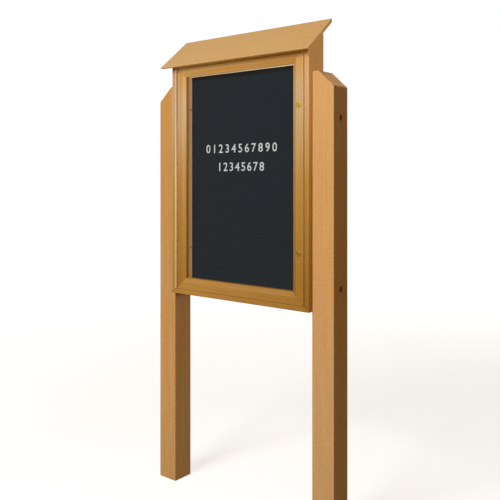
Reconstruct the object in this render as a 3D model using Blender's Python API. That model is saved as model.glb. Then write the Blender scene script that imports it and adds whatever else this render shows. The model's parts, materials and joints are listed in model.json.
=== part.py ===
"""Outdoor letter board: a shallow cabinet with a hinged window door, carried by two posts.

Metres, +Z up. The origin is on the ground, under the middle of the whole part. X runs across
the cabinet and -Y is its front. Depths are measured back from the cabinet's front plane.
"""
import math

import bmesh
import bpy
from mathutils import Matrix, Vector

# Clearance between pieces that touch
GAP = 0.0003

# Cabinet box
CABINET_WIDTH = 0.6604
CABINET_DEPTH = 0.092
CABINET_BOARD = 0.019
CABINET_LIFT = 0.762
BACK_THICKNESS = 0.0095
BACK_REBATE = 0.0095
OUTER_ROUNDING = 0.003
INNER_ROUNDING = 0.001
BOARD_EASING = 0.001
OVERLENGTH = 0.05

# Posts
POST_SIZE = 0.0889
POST_SETBACK = 0.0185
POST_BELOW_EAVE = 0.0671
POST_FLAT_TOP = 0.0259
POST_CUT_DOWN = 0.057
POST_EASING = 0.003

# Roof board
ROOF_SLOPE = math.radians(40.0)
ROOF_THICKNESS = 0.011
ROOF_OVERHANG = 0.025
ROOF_EAVE = 0.041
ROOF_EAVE_HEIGHT = 0.8936
ROOF_NOSE = 0.0015
ROOF_BLOCK_WIDTH = 0.025
ROOF_BLOCK_FRONT = 0.020

# Door frame, measured from the cabinet's bottom
DOOR_THICKNESS = 0.0254
DOOR_MEMBER = 0.0485
DOOR_BEVEL_WIDTH = 0.0165
DOOR_BEVEL_DEPTH = 0.0085
DOOR_EDGE_CHAMFER = 0.0015
DOOR_SIDE_GAP = 0.0030
DOOR_BOTTOM_GAP = 0.0008
DOOR_HEAD_GAP = 0.0010
LEFT_STILE_WIDTH = 0.0422
BOTTOM_RAIL_HEIGHT = 0.0443
TOP_RAIL_HEIGHT = 0.0365
EAVE_TO_DOOR = 0.0008

# Window pane and its stops
PANE_THICKNESS = 0.003
PANE_REBATE = 0.008
PANE_EDGE_GAP = 0.0004
STOP_WIDTH = 0.0072
STOP_THICKNESS = 0.0046

# Stop frame behind the door, and the seal between them
JAMB_REVEAL = 0.002
JAMB_THICKNESS = 0.0165
SEAL_WIDTH = 0.008
SEAL_THICKNESS = 0.0012
SEAL_INSET = 0.0005

# Grooved letter panel
PANEL_THICKNESS = 0.010
PANEL_END_GAP = 0.003
PANEL_SIDE_GAP = 0.0007
GROOVE_PITCH = 0.00635
GROOVE_WIDTH = 0.0016
GROOVE_DEPTH = 0.0025
BATTEN_SIDE_INSET = 0.010
BATTEN_END_INSET = 0.128
BATTEN_HEIGHT = 0.060

# Push-in characters: plain digits, evenly spaced
CHARACTER_HEIGHT = 0.032
CHARACTER_THICKNESS = 0.002
UPPER_LINE = "01234567890"
UPPER_LINE_GROOVES_DOWN = 52
UPPER_LINE_SPACE = 0.0112
LOWER_LINE = "12345678"
LOWER_LINE_GROOVES_DOWN = 63
LOWER_LINE_SPACE = 0.0082
LINES_LEFT_OF_MIDDLE = 0.0095
TAB_LENGTH = 0.003
TAB_HEIGHT = 0.001
TAB_REACH = 0.0021
TAB_EDGE_BAND = 0.00013
TAB_END_ROOM = 0.004
TONGUE_HEIGHT = 0.0007

# Long hinge on the left. Its knuckles lie in the gap beside the door and stand a little proud
HINGE_LEAF = 0.001
HINGE_LEAF_LAP = 0.0004
HINGE_LEAF_INSET = 0.0034
HINGE_KNUCKLE_RADIUS = 0.0042
HINGE_SIDE_ROOM = 0.0006
HINGE_BORE_RADIUS = 0.0017
HINGE_PIN_RADIUS = 0.0014
HINGE_KNUCKLES = 17
HINGE_END_GAP = 0.0008
HINGE_AXIS_PROUD = 0.0018
HINGE_CURL = math.radians(135.0)

# Cam locks in the right stile
LOCK_NAMES = ("lower", "upper")
LOWER_LOCK_UP = 0.1802
UPPER_LOCK_DOWN = 0.1808
LOCK_EDGE = 0.0202
LOCK_HEAD_RADIUS = 0.00975
LOCK_HEAD_THICKNESS = 0.0021
LOCK_HEAD_EASING = 0.0008
LOCK_BARREL_RADIUS = 0.008
LOCK_PLUG_RADIUS = 0.0054
LOCK_PLUG_PROUD = 0.0003
NUT_HALF_WIDTH = 0.011
NUT_THICKNESS = 0.003
KEY_SLOT_LENGTH = 0.0072
KEY_SLOT_WIDTH = 0.0014
KEY_SLOT_DEPTH = 0.006
CAM_THICKNESS = 0.002
CAM_HUB_RADIUS = 0.007
CAM_TIP_RADIUS = 0.006
CAM_REACH = 0.020
CAM_SCREW_RADIUS = 0.002
CAM_SCREW_HEAD = 0.0045
CAM_SCREW_LENGTH = 0.010
CAM_SCREW_HEAD_HEIGHT = 0.0022
STRIKE_THICKNESS = 0.0015
STRIKE_LEG = 0.0087
STRIKE_HALF_HEIGHT = 0.016
POCKET_END_ROOM = 0.005
POCKET_FLOOR_ROOM = 0.0024
POCKET_SIDE_ROOM = 0.0021
LOWER_JAMB_SCREW_UP = 0.1642
UPPER_JAMB_SCREW_DOWN = 0.1633
JAMB_SCREW_HEAD = 0.004
JAMB_SCREW_BITE = 0.0114
JAMB_SCREW_SHANK = 0.0022
JAMB_SCREW_HEAD_HEIGHT = 0.0022

# Post bolts
LOWER_BOLT_UP = 0.082
UPPER_BOLT_DOWN = 0.1625
BOLT_RADIUS = 0.00476
BOLT_HEAD_HALF_WIDTH = 0.00715
BOLT_HEAD_HEIGHT = 0.006
BOLT_NUT_HEIGHT = 0.007
BOLT_END = 0.0013
COUNTERBORE_RADIUS = 0.011
COUNTERBORE_DEPTH = 0.013
WASHER_RADIUS = 0.0095
WASHER_THICKNESS = 0.0016

# How the shapes are drawn
CUT_MARGIN = 0.002
FINE_SEGMENTS = 24
ROUND_SEGMENTS = 16
SMALL_SEGMENTS = 12
CAM_END_STEPS = 8
ROUNDING_STEPS = 3
SCREW_DOME = 0.85
SCREW_POINT = 0.4
MERGE_DISTANCE = 1e-5
DECIMALS = 5
SAW_DISTANCE = 1e-7
SHARP_ANGLE = math.radians(40)
EDGE_ANGLE = math.radians(35)
SLANT = math.sqrt(0.5)

# Places worked out from the sizes above
HALF_WIDTH = CABINET_WIDTH / 2
INNER_HALF = HALF_WIDTH - CABINET_BOARD
POST_BACK = POST_SETBACK + POST_SIZE
FRONT_Y = (ROOF_EAVE - POST_BACK) / 2
BOTTOM_Z = CABINET_LIFT
BACK_FRONT = CABINET_DEPTH - BACK_THICKNESS
DOOR_BOTTOM = CABINET_BOARD + DOOR_BOTTOM_GAP
DOOR_TOP = ROOF_EAVE_HEIGHT - EAVE_TO_DOOR
WINDOW_TOP = DOOR_TOP - TOP_RAIL_HEIGHT
PANE_DEPTH = DOOR_THICKNESS - STOP_THICKNESS - GAP - PANE_THICKNESS
POST_TOP = ROOF_EAVE_HEIGHT - POST_BELOW_EAVE
HEAD_BOTTOM = DOOR_TOP + DOOR_HEAD_GAP
HEAD_TOP = HEAD_BOTTOM + CABINET_BOARD
HINGE_GAP = 2 * (HINGE_KNUCKLE_RADIUS + HINGE_SIDE_ROOM)
DOOR_LEFT = -INNER_HALF + HINGE_GAP
DOOR_RIGHT = INNER_HALF - DOOR_SIDE_GAP
WINDOW_LEFT = DOOR_LEFT + LEFT_STILE_WIDTH
WINDOW_RIGHT = DOOR_RIGHT - DOOR_MEMBER
WINDOW_BOTTOM = DOOR_BOTTOM + BOTTOM_RAIL_HEIGHT
SEAL_DEPTH = DOOR_THICKNESS + GAP
JAMB_DEPTH = SEAL_DEPTH + SEAL_THICKNESS + GAP
JAMB_BACK = JAMB_DEPTH + JAMB_THICKNESS
PANEL_DEPTH = JAMB_BACK + GAP
PANEL_BACK = PANEL_DEPTH + PANEL_THICKNESS
PANEL_BOTTOM = CABINET_BOARD + PANEL_END_GAP
PANEL_TOP = HEAD_BOTTOM - PANEL_END_GAP
BOLT_NUT_STACK = WASHER_THICKNESS + BOLT_NUT_HEIGHT + BOLT_END + 2 * GAP
PANEL_HALF_WIDTH = INNER_HALF - BOLT_NUT_STACK - PANEL_SIDE_GAP
BATTEN_HALF_WIDTH = PANEL_HALF_WIDTH - BATTEN_SIDE_INSET
BATTEN_FEET = (PANEL_BOTTOM + BATTEN_END_INSET, PANEL_TOP - BATTEN_END_INSET - BATTEN_HEIGHT)
GROOVE_COUNT = int((PANEL_TOP - PANEL_BOTTOM) / GROOVE_PITCH)
TAB_GROOVES_APART = int((CHARACTER_HEIGHT - TAB_END_ROOM) / GROOVE_PITCH)
HINGE_X = -INNER_HALF + HINGE_GAP / 2
HINGE_DEPTH = -HINGE_AXIS_PROUD
HINGE_LEAF_FRONT = HINGE_DEPTH + HINGE_KNUCKLE_RADIUS - HINGE_LEAF_LAP
HINGE_LEAF_DEPTH = DOOR_THICKNESS - HINGE_LEAF_INSET
HINGE_BOTTOM = DOOR_BOTTOM + HINGE_END_GAP
HINGE_TOP = DOOR_TOP - HINGE_END_GAP
LOCK_X = DOOR_RIGHT - LOCK_EDGE
LOCK_END = DOOR_THICKNESS + NUT_THICKNESS + 2 * GAP
CAM_DEPTH = LOCK_END + GAP
LOCK_HEIGHTS = (DOOR_BOTTOM + LOWER_LOCK_UP, DOOR_TOP - UPPER_LOCK_DOWN)
JAMB_SCREW_HEIGHTS = (DOOR_BOTTOM + LOWER_JAMB_SCREW_UP, DOOR_TOP - UPPER_JAMB_SCREW_DOWN)
NUT_CORNER = NUT_HALF_WIDTH / math.cos(math.pi / 6)
POCKET_LEFT = LOCK_X - NUT_CORNER - POCKET_SIDE_ROOM
POCKET_FLOOR = CAM_DEPTH + CAM_THICKNESS + GAP + CAM_SCREW_HEAD_HEIGHT + POCKET_FLOOR_ROOM
POCKET_HALF_HEIGHT = CAM_REACH + POCKET_END_ROOM
STRIKE_FRONT = JAMB_DEPTH - 2 * GAP
STRIKE_BACK = POCKET_FLOOR - 2 * GAP
BOLT_DEPTH = POST_SETBACK + POST_SIZE / 2
BOLT_HEIGHTS = (LOWER_BOLT_UP, POST_TOP - UPPER_BOLT_DOWN)

MATERIALS = {
    "plastic_lumber": ((0.60, 0.34, 0.12), 0.72, 0.0),
    "letter_felt": ((0.018, 0.020, 0.022), 0.95, 0.0),
    "character_white": ((0.85, 0.85, 0.84), 0.35, 0.0),
    "clear_acrylic": ((0.90, 0.93, 0.94), 0.06, 0.0),
    "hinge_metal": ((0.62, 0.52, 0.43), 0.38, 1.0),
    "lock_brass": ((0.62, 0.42, 0.14), 0.30, 1.0),
    "zinc_steel": ((0.52, 0.52, 0.50), 0.36, 1.0),
    "seal_rubber": ((0.02, 0.02, 0.02), 0.80, 0.0),
}


def clear_scene():
    """Empty the scene before modelling."""
    for found in list(bpy.data.objects):
        bpy.data.objects.remove(found, do_unlink=True)


def make_material(name, kind):
    """Give one sub-part its own plain material of the given kind."""
    colour, roughness, metallic = MATERIALS[kind]
    material = bpy.data.materials.new(name)
    material.use_nodes = True
    shader = material.node_tree.nodes["Principled BSDF"]
    shader.inputs["Base Color"].default_value = (*colour, 1.0)
    shader.inputs["Roughness"].default_value = roughness
    shader.inputs["Metallic"].default_value = metallic
    if kind == "clear_acrylic":
        shader.inputs["Alpha"].default_value = 0.25
    return material


def world(x, depth, height):
    """Turn a place on the cabinet into a point of the part."""
    return Vector((x, FRONT_Y + depth, BOTTOM_Z + height))


def place(pair, axis, along):
    """Put a profile's point in space; the profile lies square to the axis."""
    first, second = pair
    if axis == "X":
        return world(along, first, second)
    if axis == "Y":
        return world(first, along, second)
    return world(first, second, along)


def finish(bm, name, kind, smooth=False, pivot=(0.0, 0.0, 0.0)):
    """Turn a finished bmesh into a named object with its own material."""
    bmesh.ops.recalc_face_normals(bm, faces=bm.faces)
    bmesh.ops.translate(bm, verts=bm.verts, vec=-Vector(pivot))
    mesh = bpy.data.meshes.new(name)
    bm.to_mesh(mesh)
    bm.free()
    if smooth:
        mesh.shade_smooth()
        mesh.set_sharp_from_angle(angle=SHARP_ANGLE)
    mesh.materials.append(make_material(name, kind))
    made = bpy.data.objects.new(name, mesh)
    made.location = pivot
    bpy.context.scene.collection.objects.link(made)
    return made


def ease_edges(made, width, segments=1):
    """Round over the edges of a board."""
    bevel = made.modifiers.new("eased_edges", "BEVEL")
    bevel.width = width
    bevel.segments = segments
    bevel.limit_method = "ANGLE"
    bevel.angle_limit = EDGE_ANGLE


def cut_with(made, cutter, operation="DIFFERENCE"):
    """Cut a piece with a guide shape, or join the guide to it."""
    cut = made.modifiers.new(cutter.name, "BOOLEAN")
    cut.operation = operation
    cut.solver = "EXACT"
    cut.object = cutter


def as_guide(made):
    """Mark a shape as a guide that is no piece of the part."""
    made.hide_render = True
    made.display_type = "WIRE"
    return made


def slice_off(bm, point, normal):
    """Saw a solid along a plane, throw away the side the normal points to, and close it."""
    everything = bm.verts[:] + bm.edges[:] + bm.faces[:]
    bmesh.ops.bisect_plane(bm, geom=everything, dist=SAW_DISTANCE, plane_co=point,
                           plane_no=normal, clear_outer=True)
    rim = [edge for edge in bm.edges if edge.is_boundary]
    bmesh.ops.holes_fill(bm, edges=rim, sides=0)


def add_bar(bm, profile, axis, low, high):
    """Extrude a closed profile along an axis, between two places on it."""
    ring = [bm.verts.new(place(pair, axis, low)) for pair in profile]
    face = bm.faces.new(ring)
    grown = bmesh.ops.extrude_face_region(bm, geom=[face])
    moved = [item for item in grown["geom"] if isinstance(item, bmesh.types.BMVert)]
    shift = place((0.0, 0.0), axis, high) - place((0.0, 0.0), axis, low)
    bmesh.ops.translate(bm, verts=moved, vec=shift)


def make_bar(name, kind, profile, axis, low, high, cuts=(), easing=0.0):
    """Make a board or strip from its profile, sawn at its ends where cuts are given."""
    bm = bmesh.new()
    add_bar(bm, profile, axis, low, high)
    for point, normal in cuts:
        slice_off(bm, point, normal)
    made = finish(bm, name, kind)
    if easing:
        ease_edges(made, easing)
    return made


def rectangle(first_low, first_high, second_low, second_high):
    """Give the four corners of a rectangular profile."""
    return [(first_low, second_low), (first_high, second_low),
            (first_high, second_high), (first_low, second_high)]


def add_block(bm, x_range, depth_range, height_range):
    """Add a plain block, for a cutter or a tab."""
    add_bar(bm, rectangle(*depth_range, *height_range), "X", *x_range)


def add_turned(bm, profile, start, direction, segments, closed=False, hexagon=()):
    """Turn a profile of (radius, distance) pairs about an axis.

    An open profile is capped at both ends and a closed one leaves a bore. The profile's points
    listed in hexagon lie on a hexagon, with the radius across its flats.
    """
    turn = Vector(direction).to_track_quat("Z", "Y").to_matrix().to_4x4()
    frame = Matrix.Translation(start) @ turn
    rings = []
    for index, (radius, distance) in enumerate(profile):
        ring = []
        for step in range(segments):
            angle = math.tau * step / segments
            reach = radius
            if index in hexagon:
                nearest_flat = round((angle - math.pi / 6) / (math.pi / 3)) * math.pi / 3
                reach = radius / math.cos(angle - math.pi / 6 - nearest_flat)
            spot = Vector((reach * math.cos(angle), reach * math.sin(angle), distance))
            ring.append(bm.verts.new(frame @ spot))
        rings.append(ring)
    pairs = list(zip(rings, rings[1:]))
    if closed:
        pairs.append((rings[-1], rings[0]))
    else:
        bm.faces.new(rings[0])
        bm.faces.new(rings[-1])
    for lower, upper in pairs:
        for step in range(segments):
            after = (step + 1) % segments
            bm.faces.new((lower[step], lower[after], upper[after], upper[step]))


def put_screws(screws, boards, head, shank, length, head_height, kind="zinc_steel"):
    """Add flat-headed screws that stand on a face, and drill what they go through.

    Each screw is a name, a point on the held face and the direction that it is driven in.
    """
    holes = bmesh.new()
    hole = [(shank + GAP, -GAP), (shank + GAP, length + 2 * GAP)]
    profile = [(head * SCREW_DOME, -head_height), (head, -head_height / 2), (head, 0.0),
               (shank, 0.0), (shank, length - shank), (shank * SCREW_POINT, length)]
    for name, point, direction in screws:
        bm = bmesh.new()
        add_turned(bm, profile, point - direction * GAP, direction, ROUND_SEGMENTS)
        finish(bm, name, kind, smooth=True)
        add_turned(holes, hole, point, direction, ROUND_SEGMENTS)
    cutter = as_guide(finish(holes, screws[0][0] + "_hole", kind))
    for board in boards:
        cut_with(board, cutter)


def roof_plane(lower_by=0.0):
    """Give a point and the upward normal of the roof's underside, lowered square to it."""
    normal = Vector((0.0, -math.sin(ROOF_SLOPE), math.cos(ROOF_SLOPE)))
    eave = world(0.0, -ROOF_EAVE, ROOF_EAVE_HEIGHT)
    return eave - normal * (ROOF_THICKNESS + lower_by), normal


def roof_underside(depth):
    """Give the height of the roof's underside at a depth."""
    rise = (depth + ROOF_EAVE) * math.tan(ROOF_SLOPE)
    return ROOF_EAVE_HEIGHT + rise - ROOF_THICKNESS / math.cos(ROOF_SLOPE)


def make_posts():
    """Make both posts, bored and counterbored for the bolts."""
    bored = bmesh.new()
    for height in BOLT_HEIGHTS:
        for side in (-1, 1):
            outer = side * (HALF_WIDTH + POST_SIZE)
            inner = Vector((-side, 0.0, 0.0))
            reach = POST_SIZE + CABINET_BOARD + COUNTERBORE_DEPTH
            radius = BOLT_RADIUS + GAP
            hole = [(COUNTERBORE_RADIUS, -CUT_MARGIN), (COUNTERBORE_RADIUS, COUNTERBORE_DEPTH),
                    (radius, COUNTERBORE_DEPTH), (radius, reach)]
            add_turned(bored, hole, world(outer, BOLT_DEPTH, height), inner, ROUND_SEGMENTS)
    bores = as_guide(finish(bored, "bolt_bores", "zinc_steel"))
    for name, side in (("left_post", -1), ("right_post", 1)):
        inner = side * (HALF_WIDTH + GAP)
        outer = side * (HALF_WIDTH + POST_SIZE)
        shoulder = side * (HALF_WIDTH + POST_FLAT_TOP)
        outline = [(inner, -BOTTOM_Z), (outer, -BOTTOM_Z), (outer, POST_TOP - POST_CUT_DOWN),
                   (shoulder, POST_TOP), (inner, POST_TOP)]
        post = make_bar(name, "plastic_lumber", outline, "Y", POST_SETBACK, POST_BACK)
        ease_edges(post, POST_EASING, 2)
        cut_with(post, bores)
    return bores


def rounded_front(outer, inner):
    """Give the front of a box board's section, from its outer to its inner face, as (place, depth)."""
    inward = math.copysign(1.0, inner - outer)
    near, far = [], []
    for step in range(ROUNDING_STEPS + 1):
        angle = math.pi / 2 * step / ROUNDING_STEPS
        along, deep = 1 - math.cos(angle), 1 - math.sin(angle)
        near.append((outer + inward * OUTER_ROUNDING * along, OUTER_ROUNDING * deep))
        far.append((inner - inward * INNER_ROUNDING * along, INNER_ROUNDING * deep))
    return near + far[::-1]


def make_cabinet(bores):
    """Make the box: mitred sides and bottom, head board and back panel."""
    roof_point, roof_normal = roof_plane(GAP)
    roof_cut = ((roof_point, roof_normal),)
    sides = []
    for name, side in (("cabinet_left_side", -1), ("cabinet_right_side", 1)):
        profile = rounded_front(side * HALF_WIDTH, side * INNER_HALF)
        profile += [(side * INNER_HALF, BACK_FRONT), (side * (INNER_HALF + BACK_REBATE), BACK_FRONT),
                    (side * (INNER_HALF + BACK_REBATE), CABINET_DEPTH),
                    (side * HALF_WIDTH, CABINET_DEPTH)]
        mitre = world(side * HALF_WIDTH, 0.0, GAP)
        cuts = ((roof_point, roof_normal), (mitre, Vector((-side * SLANT, 0.0, -SLANT))))
        sides.append(make_bar(name, "plastic_lumber", profile, "Z", 0.0,
                              roof_underside(CABINET_DEPTH) + OVERLENGTH, cuts, BOARD_EASING))
        cut_with(sides[-1], bores)
    bottom = [(depth, height) for height, depth in rounded_front(0.0, CABINET_BOARD)]
    bottom += [(CABINET_DEPTH, CABINET_BOARD), (CABINET_DEPTH, 0.0)]
    mitres = [(world(side * HALF_WIDTH, 0.0, -GAP), Vector((side * SLANT, 0.0, SLANT)))
              for side in (-1, 1)]
    make_bar("cabinet_bottom", "plastic_lumber", bottom, "X", -HALF_WIDTH, HALF_WIDTH, mitres,
             BOARD_EASING)
    head = rectangle(0.0, BACK_FRONT - GAP, HEAD_BOTTOM, HEAD_TOP)
    make_bar("cabinet_head", "plastic_lumber", head, "X", -INNER_HALF + GAP, INNER_HALF - GAP,
             roof_cut, BOARD_EASING)
    back_half = INNER_HALF + BACK_REBATE - GAP
    back = rectangle(-back_half, back_half, BACK_FRONT + GAP, CABINET_DEPTH)
    make_bar("cabinet_back", "plastic_lumber", back, "Z", CABINET_BOARD + GAP,
             roof_underside(CABINET_DEPTH) + OVERLENGTH, roof_cut, BOARD_EASING)
    return sides[0]


def make_roof():
    """Make the roof board, with a level cut at the eave and a plumb cut behind."""
    slope = math.tan(ROOF_SLOPE)
    nose_run = ROOF_NOSE / slope
    level_end = -ROOF_EAVE + ROOF_THICKNESS / math.sin(ROOF_SLOPE)
    back_top = ROOF_EAVE_HEIGHT + (POST_BACK + ROOF_EAVE) * slope
    outline = [(-ROOF_EAVE, ROOF_EAVE_HEIGHT), (level_end, ROOF_EAVE_HEIGHT),
               (POST_BACK, roof_underside(POST_BACK)), (POST_BACK, back_top),
               (-ROOF_EAVE + nose_run, ROOF_EAVE_HEIGHT + 2 * ROOF_NOSE),
               (-ROOF_EAVE, ROOF_EAVE_HEIGHT + ROOF_NOSE)]
    half = HALF_WIDTH + ROOF_OVERHANG
    make_bar("roof_board", "plastic_lumber", outline, "X", -half, half, (), BOARD_EASING)


def make_roof_blocks():
    """Make the wedge blocks that tie the roof, the sides and the head board together."""
    roof_point, roof_normal = roof_plane(GAP)
    depths = (ROOF_BLOCK_FRONT, BACK_FRONT)
    outline = rectangle(*depths, HEAD_TOP + GAP, roof_underside(BACK_FRONT) + OVERLENGTH)
    for name, side in (("left_roof_block", -1), ("right_roof_block", 1)):
        ends = sorted((side * (INNER_HALF - GAP), side * (INNER_HALF - ROOF_BLOCK_WIDTH)))
        make_bar(name, "plastic_lumber", outline, "X", *ends, ((roof_point, roof_normal),),
                 BOARD_EASING)


def door_profile(trim, chamfered):
    """Give a door member's section as (distance in from the untrimmed edge, depth) pairs."""
    arris = DOOR_MEMBER - DOOR_BEVEL_WIDTH
    rebate_depth = PANE_DEPTH - GAP
    edge = [(trim, DOOR_EDGE_CHAMFER), (trim + DOOR_EDGE_CHAMFER, 0.0)]
    if not chamfered:
        edge = [(trim, 0.0)]
    return edge + [(arris, 0.0), (DOOR_MEMBER, DOOR_BEVEL_DEPTH), (DOOR_MEMBER, rebate_depth),
                   (DOOR_MEMBER - PANE_REBATE, rebate_depth),
                   (DOOR_MEMBER - PANE_REBATE, DOOR_THICKNESS), (trim, DOOR_THICKNESS)]


def make_door_frame():
    """Make the mitred stiles and rails, each trimmed on its outer edge to its own width.

    The bottom rail's lower edge is left square, as it lies close over the box.
    """
    shift = GAP * SLANT
    frame = {}
    members = {"left": (WINDOW_LEFT, -1, LEFT_STILE_WIDTH),
               "right": (WINDOW_RIGHT, 1, DOOR_MEMBER),
               "bottom": (WINDOW_BOTTOM, -1, BOTTOM_RAIL_HEIGHT),
               "top": (WINDOW_TOP, 1, TOP_RAIL_HEIGHT)}

    def mitre(across, up, rail):
        x, out_x, _ = members[across]
        height, out_z, _ = members[up]
        toward = Vector((-out_x * SLANT, 0.0, out_z * SLANT))
        if rail:
            toward = -toward
        return world(x, 0.0, height) - toward * shift / 2, toward

    def profile(side):
        sight, sign, width = members[side]
        edge = sight + sign * DOOR_MEMBER
        return [(edge - sign * across, depth)
                for across, depth in door_profile(DOOR_MEMBER - width, side != "bottom")]

    top_cut = (world(0.0, 0.0, DOOR_TOP), Vector((0.0, 0.0, 1.0)))
    for side in ("left", "right"):
        cuts = (mitre(side, "bottom", False), mitre(side, "top", False), top_cut)
        frame[side] = make_bar(f"door_{side}_stile", "plastic_lumber", profile(side), "Z",
                               DOOR_BOTTOM, DOOR_TOP + OVERLENGTH, cuts)
    for side in ("bottom", "top"):
        section = [(depth, height) for height, depth in profile(side)]
        cuts = (mitre("left", side, True), mitre("right", side, True))
        frame[side] = make_bar(f"door_{side}_rail", "plastic_lumber", section, "X",
                               DOOR_LEFT, DOOR_RIGHT, cuts)
    return frame["right"]


def make_window():
    """Make the pane and the four stops that hold it."""
    reach = PANE_REBATE - PANE_EDGE_GAP
    pane = rectangle(WINDOW_LEFT - reach, WINDOW_RIGHT + reach,
                     WINDOW_BOTTOM - reach, WINDOW_TOP + reach)
    make_bar("window_pane", "clear_acrylic", pane, "Y", PANE_DEPTH, PANE_DEPTH + PANE_THICKNESS)
    depths = (PANE_DEPTH + PANE_THICKNESS + GAP, DOOR_THICKNESS)
    outer = PANE_REBATE - GAP
    inner = outer - STOP_WIDTH
    low, high = WINDOW_BOTTOM - outer, WINDOW_TOP + outer
    for side, edge, sign in (("left", WINDOW_LEFT, -1), ("right", WINDOW_RIGHT, 1)):
        across = sorted((edge + sign * outer, edge + sign * inner))
        make_bar(f"pane_stop_{side}", "plastic_lumber", rectangle(*across, *depths), "Z", low, high)
    for side, edge, sign in (("bottom", WINDOW_BOTTOM, -1), ("top", WINDOW_TOP, 1)):
        up = sorted((edge + sign * outer, edge + sign * inner))
        make_bar(f"pane_stop_{side}", "plastic_lumber", rectangle(*depths, *up), "X",
                 WINDOW_LEFT - inner + GAP, WINDOW_RIGHT + inner - GAP)


def make_jambs(left_side):
    """Make the stop frame behind the door, its lock pockets, its seal and two screws."""
    depths = (JAMB_DEPTH, JAMB_BACK)
    left, right = WINDOW_LEFT - JAMB_REVEAL, WINDOW_RIGHT + JAMB_REVEAL
    low, high = WINDOW_BOTTOM - JAMB_REVEAL, WINDOW_TOP + JAMB_REVEAL
    bottom_z, top_z = CABINET_BOARD + GAP, HEAD_BOTTOM - GAP
    jambs = {
        "left": make_bar("left_jamb", "plastic_lumber",
                         rectangle(-INNER_HALF + GAP, left, *depths), "Z", bottom_z, top_z),
        "right": make_bar("right_jamb", "plastic_lumber",
                          rectangle(right, INNER_HALF - GAP, *depths), "Z", bottom_z, top_z),
        "bottom": make_bar("bottom_jamb", "plastic_lumber", rectangle(*depths, bottom_z, low),
                           "X", left + GAP, right - GAP),
        "top": make_bar("top_jamb", "plastic_lumber", rectangle(*depths, high, top_z),
                        "X", left + GAP, right - GAP),
    }
    pockets = bmesh.new()
    for height in LOCK_HEIGHTS:
        add_block(pockets, (POCKET_LEFT, INNER_HALF + CUT_MARGIN),
                  (JAMB_DEPTH - CUT_MARGIN, POCKET_FLOOR),
                  (height - POCKET_HALF_HEIGHT, height + POCKET_HALF_HEIGHT))
    cut_with(jambs["right"], as_guide(finish(pockets, "lock_pockets", "plastic_lumber")))

    bm = bmesh.new()
    rings = []
    for inset in (SEAL_INSET, SEAL_INSET + SEAL_WIDTH):
        corners = rectangle(left - inset, right + inset, low - inset, high + inset)
        rings.append([bm.verts.new(place(pair, "Y", SEAL_DEPTH)) for pair in corners])
    faces = []
    for step in range(4):
        after = (step + 1) % 4
        faces.append(bm.faces.new((rings[0][step], rings[0][after],
                                   rings[1][after], rings[1][step])))
    grown = bmesh.ops.extrude_face_region(bm, geom=faces)
    moved = [item for item in grown["geom"] if isinstance(item, bmesh.types.BMVert)]
    bmesh.ops.translate(bm, verts=moved, vec=(0.0, SEAL_THICKNESS, 0.0))
    finish(bm, "door_seal", "seal_rubber")

    middle = JAMB_DEPTH + JAMB_THICKNESS / 2
    length = left + INNER_HALF + JAMB_SCREW_BITE
    screws = [(f"{name}_jamb_screw", world(left, middle, height), Vector((-1, 0, 0)))
              for name, height in zip(LOCK_NAMES, JAMB_SCREW_HEIGHTS)]
    put_screws(screws, [jambs["left"], left_side], JAMB_SCREW_HEAD, JAMB_SCREW_SHANK, length,
               JAMB_SCREW_HEAD_HEIGHT)


def groove_height(number):
    """Give the middle height of a groove, counted up from the panel's foot."""
    return PANEL_BOTTOM + GROOVE_PITCH * (number + 0.5)


def make_letter_panel():
    """Make the grooved panel and the battens that carry it."""
    profile = [(PANEL_BACK, PANEL_BOTTOM), (PANEL_DEPTH, PANEL_BOTTOM)]
    for number in range(GROOVE_COUNT):
        low = groove_height(number) - GROOVE_WIDTH / 2
        high = low + GROOVE_WIDTH
        floor = PANEL_DEPTH + GROOVE_DEPTH
        profile += [(PANEL_DEPTH, low), (floor, low), (floor, high), (PANEL_DEPTH, high)]
    profile += [(PANEL_DEPTH, PANEL_TOP), (PANEL_BACK, PANEL_TOP)]
    make_bar("letter_panel", "letter_felt", profile, "X", -PANEL_HALF_WIDTH, PANEL_HALF_WIDTH)
    depths = (PANEL_BACK + GAP, BACK_FRONT)
    for name, height in zip(("lower_batten", "upper_batten"), BATTEN_FEET):
        section = rectangle(*depths, height, height + BATTEN_HEIGHT)
        make_bar(name, "plastic_lumber", section, "X", -BATTEN_HALF_WIDTH, BATTEN_HALF_WIDTH, (),
                 BOARD_EASING)


def digit_solid(digit):
    """Give one upright digit as a flat closed mesh in the XZ plane, with its foot at zero."""
    curve = bpy.data.curves.new("digit_" + digit, "FONT")
    curve.body = digit
    curve.resolution_u = 2
    curve.extrude = CHARACTER_THICKNESS / 2
    text = bpy.data.objects.new("digit_" + digit, curve)
    bpy.context.scene.collection.objects.link(text)
    mesh = bpy.data.meshes.new_from_object(text)
    bm = bmesh.new()
    bm.from_mesh(mesh)
    bmesh.ops.remove_doubles(bm, verts=bm.verts, dist=MERGE_DISTANCE)
    caps = [face for face in bm.faces
            if len({round(vert.co.z, DECIMALS) for vert in face.verts}) == 1]
    bmesh.ops.delete(bm, geom=caps, context="FACES")
    for level in {round(vert.co.z, DECIMALS) for vert in bm.verts}:
        rim = [edge for edge in bm.edges if edge.is_boundary
               and all(round(vert.co.z, DECIMALS) == level for vert in edge.verts)]
        bmesh.ops.triangle_fill(bm, edges=rim, use_beauty=True)
    bpy.data.objects.remove(text, do_unlink=True)
    bpy.data.meshes.remove(mesh)
    low = min(vert.co.y for vert in bm.verts)
    high = max(vert.co.y for vert in bm.verts)
    middle = (min(vert.co.x for vert in bm.verts) + max(vert.co.x for vert in bm.verts)) / 2
    size = CHARACTER_HEIGHT / (high - low)
    for vert in bm.verts:
        x, y, z = vert.co
        vert.co = ((x - middle) * size, z, (y - low) * size)
    return bm


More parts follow.
